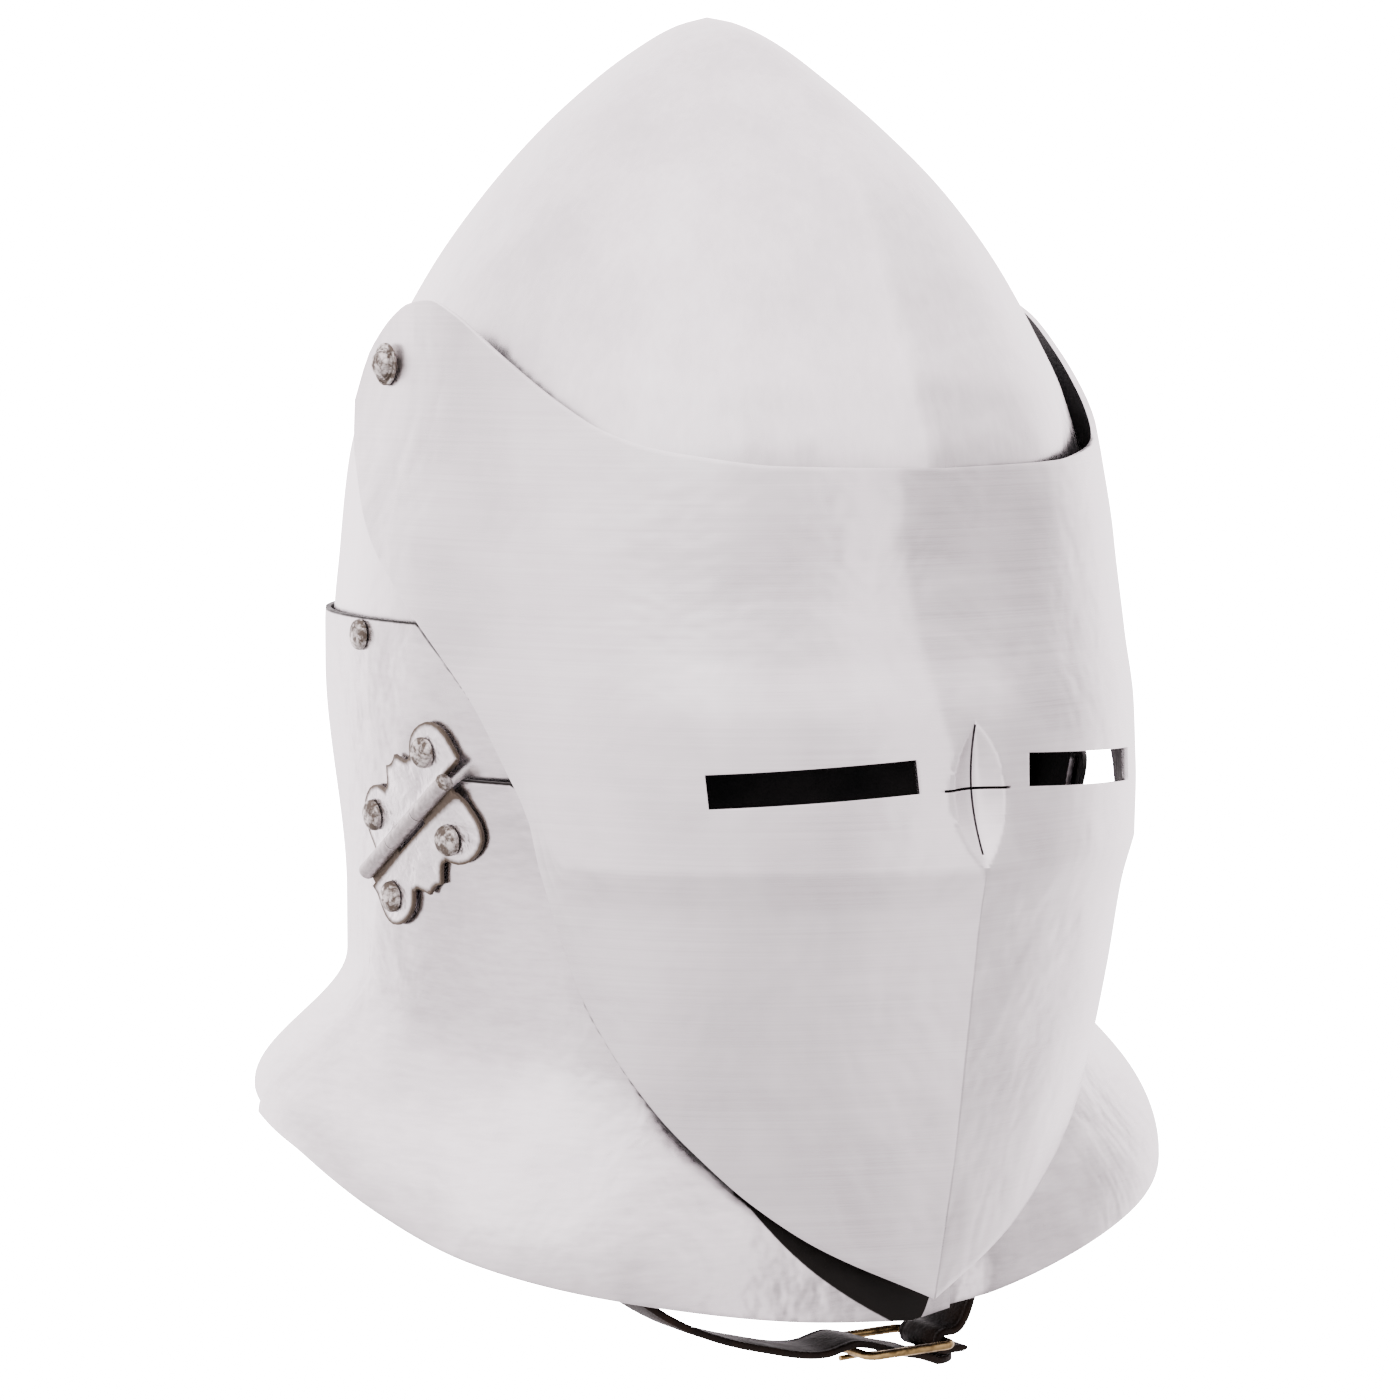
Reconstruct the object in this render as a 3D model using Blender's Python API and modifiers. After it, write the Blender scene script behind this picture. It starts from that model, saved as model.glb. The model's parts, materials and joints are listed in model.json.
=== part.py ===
# Visored steel helm with a hinged collar, a pointed crown and a chin strap, in metres.
# The helm faces -Y and the wearer's left is +X. Heights are measured from the level of the
# eye slits, and reaches from the upright crown axis. At the end the whole helm is lowered so
# that the world origin is the seat inside the crown.

import bpy
import bmesh
from collections import namedtuple
from math import cos, pi, radians, sin, tau
from mathutils import Matrix, Vector

# Sheet and clearances
plate_wall = 0.0016
visor_wall = 0.0018
lap_gap = 0.0011
touch_gap = 0.0003
seat_height = 0.125
weld_gap = 0.00001
pin_reach = 0.010

# Skull
crown_height = 0.2225
skull_half_width = 0.110
skull_front_reach = 0.119
skull_back_reach = 0.1125
skull_power = 2.15
skull_keel_rise = 0.003
skull_keel_spread = 0.030
skull_edge_height = 0.030
brow_height = 0.056
brow_angle = radians(58)

# Collar
collar_top_height = 0.0458
neck_height = -0.040
neck_half_width = 0.1072
neck_front_reach = 0.096
neck_back_reach = 0.1005
neck_power = 2.3
rim_half_width = 0.138
rim_front_reach = 0.105
rim_back_reach = 0.122
rim_front_power = 2.6
rim_back_power = 2.2
flare_start = 0.30
flare_span = 0.68
flare_swell = 1.1
rim_front_drop = 0.1545
rim_lean = 0.0035
collar_front_angle = radians(60)
half_edge_height = 0.0025
chin_edge_height = -0.012
seam_high_angle = radians(94.6)
seam_low_angle = radians(103.3)
chin_lap_angle = radians(7.5)
chin_tuck_angle = radians(2)
lap_joggle_angle = radians(9)
plate_lap_angle = radians(5.5)
plate_tuck = 0.0006
plate_tuck_drop = 0.020

# Visor
visor_standoff = 0.0063
visor_front_reach = 0.1435
visor_power = 2.3
visor_tip_depth = 0.146
visor_ear_height = 0.138
visor_brow_height = 0.0912
visor_ear_angle = radians(103.8)
crease_depth = 0.020
ridge_rise = 0.009
band_half_width = 0.014
ridge_spread = 0.060
slit_inner = 0.0192
slit_outer = 0.0735
slit_height = 0.0095
slit_level = 0.0048
slit_droop = radians(3.5)
dent_height = 0.0205
dent_half_width = 0.009
dent_depth = 0.0032
cut_width = 0.0008
cut_height = 0.0364
cut_length = 0.023
cut_level = 0.0021

# Visor pivots
pivot_height = 0.1195
pivot_back = 0.0075
pivot_pin_radius = 0.0025
pivot_head_radius = 0.0042
pivot_head_rise = 0.0034
pivot_washer_radius = 0.0062
pivot_washer_wall = 0.0009
pivot_tail_radius = 0.0040
pivot_tail_rise = 0.0016

# Side hinges, whose axis slants down towards the back
hinge_front_y = -0.0365
hinge_front_height = 0.0012
hinge_back_y = 0.0065
hinge_back_height = -0.0285
knuckle_radius = 0.0025
hinge_pin_radius = 0.0011
hinge_head_radius = 0.0027
hinge_head_rise = 0.0016
middle_knuckle = 0.0165
leaf_wall = 0.0012
leaf_fold_places = (0.0042, 0.0070, 0.0150)
leaf_cross_places = (-0.0190, -0.0110, 0.0, 0.0110, 0.0190)

# Rivets
rivet_radius = 0.0046
rivet_rise = 0.0028
collar_rivet_drop = 0.0052
collar_rivet_angles = {"right": radians(-96.5), "left": radians(96.5), "back": radians(180),
                       "back_right": radians(-140), "back_left": radians(140)}

# Chin strap and buckle
strap_width = 0.020
strap_wall = 0.0022
strap_root_height = 0.062
strap_root_y = -0.012
strap_seat_gap = 0.0008
strap_rivet_radius = 0.0036
strap_rivet_drop = 0.008
strap_low_depth = 0.1775
strap_low_y = -0.045
buckle_x = 0.0355
buckle_length = 0.031
buckle_wire = 0.0014
buckle_side_gap = 0.0008
buckle_corner = 0.003
fold_length = 0.008
tail_length = 0.007
tongue_radius = 0.0009

visor_columns_shares = (0.0, 0.030, 0.061, 0.098, 0.139, 0.186, 0.242, 0.307, 0.372, 0.437,
                         0.502, 0.567, 0.632, 0.707, 0.781, 0.847, 0.912, 0.963, 0.990, 1.0)
visor_upper_shares = (0.0, 0.14, 0.29, 0.42, 0.54, 0.635, 0.72, 0.80, 0.87, 0.935, 1.0)
visor_lower_shares = (0.22, 0.48, 0.74, 1.0)
crease_floor_share = 0.16
skull_columns = 38
collar_columns = 16
half_shares = (0.0, 0.12, 0.24, 0.35, 0.44, 0.53, 0.61, 0.69, 0.77, 0.85, 0.925, 1.0)
plate_shares = (0.0, 0.13, 0.26, 0.38, 0.50, 0.61, 0.67, 0.73, 0.79, 0.845, 0.90, 0.95, 1.0)
plate_columns = 8
round_steps = 10
strap_steps = 24

SkullRow = namedtuple("SkullRow", "height half_width front back")
VisorRow = namedtuple("VisorRow", "height half_width reach rise band")
EdgeRow = namedtuple("EdgeRow", "angle height")
FrontRow = namedtuple("FrontRow", "forward height")
LeafRow = namedtuple("LeafRow", "middle half_length depth rivet_middle rivet_reach rivet_across")
StrapRow = namedtuple("StrapRow", "side drop forward")
RouteRow = namedtuple("RouteRow", "run x y z")

# Heights are shares of crown_height, the rest shares of the skull's own sizes
skull_rows = [
    SkullRow(0.067, 1.000, 0.980, 1.000),
    SkullRow(0.180, 1.000, 0.985, 1.000),
    SkullRow(0.292, 0.988, 0.992, 0.964),
    SkullRow(0.405, 0.964, 1.000, 0.938),
    SkullRow(0.494, 0.923, 0.950, 0.875),
    SkullRow(0.584, 0.843, 0.866, 0.765),
    SkullRow(0.674, 0.732, 0.787, 0.692),
    SkullRow(0.764, 0.586, 0.682, 0.611),
    SkullRow(0.854, 0.418, 0.500, 0.478),
    SkullRow(0.921, 0.255, 0.350, 0.368),
    SkullRow(0.962, 0.145, 0.234, 0.250),
    SkullRow(0.991, 0.055, 0.092, 0.110),
    SkullRow(1.000, 0.000, 0.000, 0.000),
]

# Heights are shares of the visor's height from its tip to the top of its ears, the other
# columns shares of its half width, its front reach, its ridge and its front band
visor_rows = [
    VisorRow(0.000, 0.750, 0.831, 1.00, 0.00),
    VisorRow(0.158, 0.862, 0.900, 1.00, 0.00),
    VisorRow(0.311, 0.940, 0.950, 0.95, 0.00),
    VisorRow(0.394, 0.966, 0.977, 0.90, 0.00),
    VisorRow(0.445, 0.988, 1.000, 0.70, 0.00),
    VisorRow(0.521, 1.000, 0.973, 0.42, 0.45),
    VisorRow(0.587, 1.000, 0.955, 0.34, 0.70),
    VisorRow(0.657, 0.998, 0.908, 0.28, 0.90),
    VisorRow(0.753, 0.985, 0.863, 0.20, 1.00),
    VisorRow(0.834, 0.946, 0.848, 0.16, 1.00),
    VisorRow(0.933, 0.905, 0.810, 0.16, 1.00),
    VisorRow(1.000, 0.895, 0.780, 0.16, 1.00),
]

# Edge angles are shares of the angle out to the ear's end. Heights of the top edge are shares
# of the rise from brow to ear top, those of the low edge shares of the height above the tip
visor_top_edge = [
    EdgeRow(0.000, 0.000), EdgeRow(0.229, 0.025), EdgeRow(0.325, 0.079), EdgeRow(0.388, 0.130),
    EdgeRow(0.457, 0.233), EdgeRow(0.519, 0.378), EdgeRow(0.629, 0.660), EdgeRow(0.743, 0.929),
    EdgeRow(0.800, 1.000), EdgeRow(0.857, 0.981), EdgeRow(0.902, 0.908), EdgeRow(0.946, 0.782),
    EdgeRow(0.981, 0.620), EdgeRow(1.000, 0.374),
]
visor_low_edge = [
    EdgeRow(0.000, 0.000), EdgeRow(0.165, 0.065), EdgeRow(0.259, 0.119), EdgeRow(0.325, 0.169),
    EdgeRow(0.390, 0.227), EdgeRow(0.480, 0.348), EdgeRow(0.522, 0.459), EdgeRow(0.545, 0.547),
    EdgeRow(0.584, 0.605), EdgeRow(0.636, 0.669), EdgeRow(0.694, 0.716), EdgeRow(0.787, 0.779),
    EdgeRow(0.875, 0.838), EdgeRow(0.967, 0.932), EdgeRow(0.987, 0.966), EdgeRow(1.000, 1.000),
]

# Angles in degrees round from the front, drops as shares of the rim's drop at the front
rim_edge = [
    EdgeRow(0, 1.000), EdgeRow(20, 0.967), EdgeRow(46, 0.891), EdgeRow(62, 0.825),
    EdgeRow(74, 0.755), EdgeRow(84, 0.702), EdgeRow(93, 0.664), EdgeRow(116, 0.612),
    EdgeRow(140, 0.630), EdgeRow(180, 0.700),
]

# Front edge of the back plate, hidden under the halves: shares of the way forward from the
# seam and of the climb from the rim to the height of the halves' chin edge
plate_front_edge = [
    FrontRow(0.000, 0.00), FrontRow(0.020, 0.12), FrontRow(0.048, 0.26), FrontRow(0.087, 0.39),
    FrontRow(0.140, 0.50), FrontRow(0.220, 0.59), FrontRow(0.365, 0.68), FrontRow(0.630, 0.86),
    FrontRow(1.000, 1.00),
]

# Hinge leaves above and below the barrel, along it from its middle and across it
leaves = {
    "upper": LeafRow(0.0030, 0.0277, 0.0215, 0.0011, 0.0184, 0.0142),
    "lower": LeafRow(-0.0007, 0.0274, 0.0204, -0.0032, 0.0171, 0.0113),
}

# Half of a hinge leaf's outline from its middle out: shares of the half length and the depth
leaf_outline = [
    (0.00, 0.96), (0.10, 0.97), (0.26, 0.76), (0.33, 0.76), (0.43, 0.90), (0.58, 0.99), (0.78, 0.98),
    (0.93, 0.84), (1.00, 0.60), (1.00, 0.25),
]

# Chin strap as it hangs, from the wearer's right root to the left one: sideways place as a
# share of the room between the skull's walls, drop as a share of the whole, forward likewise
strap_rows = [
    StrapRow(-1.000, 0.000, 0.00), StrapRow(-0.995, 0.140, 0.05), StrapRow(-0.965, 0.360, 0.20),
    StrapRow(-0.880, 0.600, 0.50), StrapRow(-0.700, 0.820, 0.80), StrapRow(-0.440, 0.925, 1.00),
    StrapRow(-0.150, 0.973, 1.00), StrapRow(0.170, 0.996, 1.00), StrapRow(0.470, 1.000, 1.00),
    StrapRow(0.700, 0.860, 0.80), StrapRow(0.880, 0.640, 0.50), StrapRow(0.965, 0.380, 0.20),
    StrapRow(0.995, 0.140, 0.05), StrapRow(1.000, 0.000, 0.00),
]

steel = {"color": (0.80, 0.80, 0.83), "roughness": 0.32, "metallic": 1.0}
pewter = {"color": (0.42, 0.40, 0.38), "roughness": 0.45, "metallic": 1.0}
brass = {"color": (0.40, 0.29, 0.14), "roughness": 0.40, "metallic": 1.0}
leather = {"color": (0.035, 0.025, 0.020), "roughness": 0.60, "metallic": 0.0}

visor_span = visor_ear_height + visor_tip_depth
visor_half_width = skull_half_width + visor_standoff
half_offset = plate_wall + lap_gap


def clamp(value, low=0.0, high=1.0):
    return min(max(value, low), high)


def ease(share):
    share = clamp(share)
    return share * share * (3.0 - 2.0 * share)


def mix(start, end, share):
    return start + (end - start) * share


def steady_slope(before, after):
    # The harmonic mean keeps the curve between two rows from overshooting them
    if before * after <= 0.0:
        return 0.0
    return 2.0 * before * after / (before + after)


def read_rows(rows, place):
    # Smooth value of every column at a place along the first column
    keys = [row[0] for row in rows]
    place = clamp(place, keys[0], keys[-1])
    upper = next(i for i in range(1, len(keys)) if place <= keys[i])
    lower = upper - 1
    step = keys[upper] - keys[lower]
    t = (place - keys[lower]) / step
    values = [place]
    for column in range(1, len(rows[0])):
        def slope(i):
            return (rows[i + 1][column] - rows[i][column]) / (keys[i + 1] - keys[i])
        here = slope(lower)
        start = steady_slope(slope(lower - 1), here) if lower > 0 else here
        end = steady_slope(here, slope(upper)) if upper < len(rows) - 1 else here
        rise = rows[upper][column] - rows[lower][column]
        bend = t * (1 - t) * ((start * step - rise) * (1 - t) - (end * step - rise) * t)
        values.append(rows[lower][column] + rise * t + bend)
    return type(rows[0])(*values)


def section_radius(angle, half_width, front, back, power):
    # Oval with flattened sides, by the angle round from the front
    reach = front if cos(angle) > 0 else back
    side = abs(sin(angle) / half_width) ** power
    along = abs(cos(angle) / reach) ** power
    return (side + along) ** (-1.0 / power)


def at_angle(angle, radius, height):
    return Vector((sin(angle) * radius, -cos(angle) * radius, height))


def skull_radius(angle, height):
    row = read_rows(skull_rows, height / crown_height)
    if row.half_width <= 0.0:
        return 0.0
    front = skull_front_reach * row.front
    keel = skull_keel_rise * min(1.0, row.front * 1.5)
    radius = section_radius(angle, skull_half_width * row.half_width, front - keel,
                            skull_back_reach * row.back, skull_power)
    if cos(angle) > 0:
        away = abs(sin(angle)) * radius / skull_keel_spread
        radius += keel * (1.0 - clamp(away)) ** 2
    return radius


def skull_point(angle, height):
    return at_angle(angle, skull_radius(angle, height), height)


def rim_height(angle):
    turn = abs((angle + pi) % tau - pi)
    share = read_rows(rim_edge, turn * 180.0 / pi).height
    return -rim_front_drop * share + rim_lean * sin(angle)


def collar_radius(angle, height):
    # Outer face of the back plate, carried on round the front under the hinged halves
    neck = section_radius(angle, neck_half_width, neck_front_reach, neck_back_reach, neck_power)
    if height >= neck_height:
        lap_foot = skull_edge_height - lap_gap
        over_skull = skull_radius(angle, max(height, lap_foot)) + lap_gap + plate_wall
        return mix(over_skull, neck, ease((lap_foot - height) / (lap_foot - neck_height)))
    power = rim_front_power if cos(angle) > 0 else rim_back_power
    rim = section_radius(angle, rim_half_width, rim_front_reach, rim_back_reach, power)
    share = (neck_height - height) / (neck_height - rim_height(angle))
    flare = ease((share - flare_start) / flare_span) ** flare_swell
    return mix(neck, rim, flare)


def collar_point(angle, height):
    return at_angle(angle, collar_radius(angle, height), height)


def square_to(point_at, angle, height):
    # Point of a face and the direction squarely out of it
    step = 0.0005
    here = point_at(angle, height)
    sideways = point_at(angle + step / here.xy.length, height) - here
    upwards = point_at(angle, height + step) - here
    return here, sideways.cross(upwards).normalized()


def half_point(angle, height):
    here, out = square_to(collar_point, angle, height)
    return here + out * half_offset


def tucked_half_point(angle, height):
    # The left half passes under the right one at the chin
    here, out = square_to(collar_point, angle, height)
    return here + out * half_offset * ease((angle - chin_lap_angle) / lap_joggle_angle)


def visor_point(angle, height):
    row = read_rows(visor_rows, (height + visor_tip_depth) / visor_span)
    rise = ridge_rise * row.rise
    reach = visor_front_reach * row.reach - rise
    half_width = visor_half_width * row.half_width
    if cos(angle) <= 0:
        # The ears run straight back, side on to the pivots
        back = reach * -cos(angle) / abs(sin(angle)) * half_width / reach
        return Vector((half_width if angle > 0 else -half_width, back, height))
    point = at_angle(angle, section_radius(angle, half_width, reach, reach, visor_power), height)
    away = (abs(point.x) - band_half_width * row.band) / ridge_spread
    point.y -= rise * (1.0 - clamp(away)) ** 2
    level = height / dent_height
    if abs(level) < 1.0:
        width = dent_half_width * (1.0 - level * level)
        point.y += dent_depth * max(0.0, 1.0 - (point.x / width) ** 2) * (1.0 - level * level)
    return point


def visor_top(angle):
    share = read_rows(visor_top_edge, abs(angle) / visor_ear_angle).height
    return mix(visor_brow_height, visor_ear_height, share)


def visor_low(angle):
    share = read_rows(visor_low_edge, abs(angle) / visor_ear_angle).height
    return mix(-visor_tip_depth, visor_top(visor_ear_angle), share)


def new_material(name, look):
    material = bpy.data.materials.new(name)
    material.use_nodes = True
    shader = material.node_tree.nodes["Principled BSDF"]
    shader.inputs["Base Color"].default_value = (*look["color"], 1.0)
    shader.inputs["Roughness"].default_value = look["roughness"]
    shader.inputs["Metallic"].default_value = look["metallic"]
    return material


def new_object(name, mesh, group, look=None):
    item = bpy.data.objects.new(name, mesh)
    group.objects.link(item)
    if look:
        mesh.materials.append(new_material(name + "_finish", look))
    return item


def make_cutter(item):
    item.hide_render = True
    item.display_type = "WIRE"
    return item


def subtract(item, cutter):
    cut = item.modifiers.new("cut_" + cutter.name, "BOOLEAN")
    cut.operation = "DIFFERENCE"
    cut.object = cutter


def grid_mesh(name, rows, closed=False):
    # Quads between rows of points, with points that coincide merged
    shape = bmesh.new()
    grid = [[shape.verts.new(point) for point in row] for row in rows]
    count = len(rows[0])
    for upper, lower in zip(grid, grid[1:]):
        for i in range(count if closed else count - 1):
            j = (i + 1) % count
            shape.faces.new((upper[i], lower[i], lower[j], upper[j]))
    bmesh.ops.remove_doubles(shape, verts=shape.verts, dist=0.00002)
    mesh = bpy.data.meshes.new(name)
    shape.to_mesh(mesh)
    shape.free()
    return mesh


def sheet(name, rows, wall, look, closed=False):
    # A plate is its outer face with a wall on the inner side
    mesh = grid_mesh(name, rows, closed)
    item = new_object(name, mesh, parts, look)
    solid = item.modifiers.new("wall", "SOLIDIFY")
    solid.thickness = wall
    solid.offset = -1.0
    solid.use_even_offset = False
    mesh.shade_smooth()
    mesh.set_sharp_from_angle(angle=radians(25))
    return item


def set_origin(item, origin):
    item.data.transform(Matrix.Translation(-origin))
    item.location = origin


def carry(child, owner):
    bpy.context.view_layer.update()
    child.parent = owner
    child.matrix_parent_inverse = owner.matrix_world.inverted()


def along(direction, origin):
    # Frame whose Z runs along a direction
    turn = Vector((0, 0, 1)).rotation_difference(direction.normalized())
    return Matrix.Translation(origin) @ turn.to_matrix().to_4x4()


def turned(name, profile, frame, look, group=None):
    # Round piece from a profile of radius and height that runs top to bottom
    mesh = bpy.data.meshes.new(name)
    points = [(radius, 0.0, height) for radius, height in profile]
    mesh.from_pydata(points, [(i, i + 1) for i in range(len(points) - 1)], [])
    item = new_object(name, mesh, group or parts, look)
    item.matrix_world = frame
    spin = item.modifiers.new("spin", "SCREW")
    spin.axis = "Z"
    spin.steps = round_steps
    spin.render_steps = round_steps
    spin.use_merge_vertices = True
    spin.merge_threshold = 0.00001
    return item


def rod_cutter(name, radius, start, end):
    mesh = bpy.data.meshes.new(name)
    shape = bmesh.new()
    bmesh.ops.create_cone(shape, cap_ends=True, segments=round_steps, radius1=radius,
                          radius2=radius, depth=(end - start).length)
    shape.to_mesh(mesh)
    shape.free()
    item = new_object(name, mesh, cutters)
    item.matrix_world = along(end - start, (start + end) / 2)
    return make_cutter(item)


def box_cutter(name, centre, size, tilt=0.0):
    mesh = bpy.data.meshes.new(name)
    shape = bmesh.new()
    bmesh.ops.create_cube(shape, size=1.0, matrix=Matrix.Diagonal((*size, 1.0)))
    shape.to_mesh(mesh)
    shape.free()
    item = new_object(name, mesh, cutters)
    item.matrix_world = Matrix.Translation(centre) @ Matrix.Rotation(tilt, 4, "Y")
    return make_cutter(item)


def cross_cutter(name, centre, depth):
    # Upright and arms of the cross as one prism through the front of the visor
    line = cut_width / 2
    arm = cut_length / 2
    reach = cut_height / 2
    quarter = [(line, reach), (line, line), (arm, line), (arm, -line), (line, -line), (line, -reach)]
    outline = quarter + [(-x, z) for x, z in reversed(quarter)]
    shape = bmesh.new()
    face = shape.faces.new([shape.verts.new((x, -depth / 2, z)) for x, z in outline])
    moved = bmesh.ops.extrude_face_region(shape, geom=[face])["geom"]
    bmesh.ops.translate(shape, vec=(0.0, depth, 0.0),
                        verts=[piece for piece in moved if isinstance(piece, bmesh.types.BMVert)])
    bmesh.ops.recalc_face_normals(shape, faces=shape.faces)
    mesh = bpy.data.meshes.new(name)
    shape.to_mesh(mesh)
    shape.free()
    item = new_object(name, mesh, cutters)
    item.matrix_world = Matrix.Translation(centre)
    return make_cutter(item)


def weld(item):
    # Closes the hairlines that a cut can leave along an edge
    close = item.modifiers.new("weld", "WELD")
    close.merge_threshold = weld_gap


def dome(radius, rise):
    return [(0.0, rise), (radius * 0.55, rise * 0.86), (radius * 0.90, rise * 0.45),
            (radius, 0.0), (0.0, 0.0)]


def make_skull():
    shares = [1.0 - row.height for row in reversed(skull_rows[2:])]
    shares += [0.80, 0.90, 1.0]

    def low_edge(angle):
        turn = abs((angle + pi) % tau - pi)
        return mix(brow_height, skull_edge_height, ease((turn / brow_angle - 0.6) / 0.6))

    span = shares[-1]
    rows = []
    for share in shares:
        row = []
        for i in range(skull_columns):
            angle = tau * i / skull_columns
            height = mix(crown_height, low_edge(angle), share / span)
            row.append(skull_point(angle, height))
        rows.append(row)
    return sheet("skull", rows, plate_wall, steel, closed=True)


def make_visor():
    angles = [visor_ear_angle * share for share in visor_columns_shares]
    angles = [-angle for angle in reversed(angles[1:])] + angles
    columns = []
    for angle in angles:
        top = visor_top(angle)
        low = visor_low(angle)
        crease = max(-crease_depth, mix(low, top, crease_floor_share))
        heights = [mix(top, crease, share) for share in visor_upper_shares]
        heights += [mix(crease, low, share) for share in visor_lower_shares]
        columns.append([visor_point(angle, height) for height in heights])
    rows = [list(row) for row in zip(*columns)]
    visor = sheet("visor", rows, visor_wall, steel)
    cut_depth = visor_front_reach * 0.5
    middle = (slit_inner + slit_outer) / 2
    for side, sign in (("right", -1), ("left", 1)):
        size = (slit_outer - slit_inner, cut_depth, slit_height)
        centre = Vector((sign * middle, -visor_front_reach, slit_level))
        subtract(visor, box_cutter("slit_" + side, centre, size, sign * slit_droop))
    subtract(visor, cross_cutter("cross", Vector((0.0, -visor_front_reach, cut_level)), cut_depth))
    return visor


def half_top(turn):
    # Height of a half's top edge by the angle round from the front, out to its hinge
    rise = ease((turn - radians(40)) / radians(22))
    return mix(chin_edge_height, half_edge_height, rise)


def side_angle(back, height, point_at):
    # Angle of the point of a face that lies a given distance behind the crown axis
    low = radians(45)
    high = radians(135)
    for _ in range(40):
        angle = (low + high) / 2
        if point_at(angle, height).y < back:
            low = angle
        else:
            high = angle
    return angle


def side_reach(back, height, point_at):
    return point_at(side_angle(back, height, point_at), height).x


def make_collar_half(name, sign, start, point_at):
    hinge_front = side_angle(hinge_front_y, hinge_front_height, half_point)
    hinge_back = side_angle(hinge_back_y, hinge_back_height, half_point)
    columns = []
    for i in range(collar_columns + 1):
        turn = mix(start, seam_high_angle, i / collar_columns)
        if turn <= hinge_front:
            top = min(half_top(turn), hinge_front_height + half_edge_height)
        else:
            top = mix(hinge_front_height, hinge_back_height,
                      clamp((turn - hinge_front) / (hinge_back - hinge_front)))
        foot = turn * seam_low_angle / seam_high_angle if turn > 0 else turn
        foot_height = rim_height(sign * foot)
        column = []
        for share in half_shares:
            angle = mix(turn, foot, share)
            height = mix(top, foot_height, share)
            column.append(point_at(sign * angle, height))
        columns.append(column)
    rows = [list(row) for row in zip(*columns)]
    if sign < 0:
        rows = [list(reversed(row)) for row in rows]
    return sheet(name, rows, plate_wall, steel)


def make_back_collar():
    # Behind the seams it reaches the rim, and in front of them it is tucked under the halves
    foot_end = seam_low_angle - plate_lap_angle
    columns = []
    for i in range(plate_columns):
        share = i / plate_columns
        columns.append((mix(pi, seam_high_angle, share), mix(pi, foot_end, share), 0.0))
    for i, row in enumerate(plate_front_edge):
        share = i / (len(plate_front_edge) - 1)
        columns.append((mix(seam_high_angle, collar_front_angle, share),
                        mix(foot_end, collar_front_angle, row.forward), row.height))
    points = []
    for sign in (1, -1):
        side = []
        for top_angle, foot_angle, climb in columns:
            foot = mix(rim_height(sign * foot_angle), chin_edge_height, climb)
            column = []
            for share in plate_shares:
                angle = sign * mix(top_angle, foot_angle, share)
                height = mix(collar_top_height, foot, share)
                radius = collar_radius(angle, height)
                if climb > 0.0:
                    radius -= plate_tuck * ease((neck_height - height) / plate_tuck_drop)
                column.append(at_angle(angle, radius, height))
            side.append(column)
        points.append(side)
    ordered = list(reversed(points[0])) + points[1][1:]
    rows = [list(row) for row in zip(*ordered)]
    plate = sheet("back_collar", rows, plate_wall, steel)
    # Cut along the shorter diagonals the skewed quads at the front edge keep clear of the halves
    split = plate.modifiers.new("split", "TRIANGULATE")
    split.quad_method = "SHORTEST_DIAGONAL"
    plate.modifiers.move(1, 0)
    return plate


def hinge_axis(sign):
    # The barrel is straight and clears the bowed face of the collar half all along
    front = Vector((0.0, hinge_front_y, hinge_front_height))
    back = Vector((0.0, hinge_back_y, hinge_back_height))
    front.x = side_reach(front.y, front.z, half_point)
    back.x = side_reach(back.y, back.z, half_point)
    bow = 0.0
    for i in range(1, 12):
        point = front.lerp(back, i / 12)
        bow = max(bow, side_reach(point.y, point.z, half_point) - point.x)
    for end in (front, back):
        end.x = sign * (end.x + bow + knuckle_radius + touch_gap)
    return front, back


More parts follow.
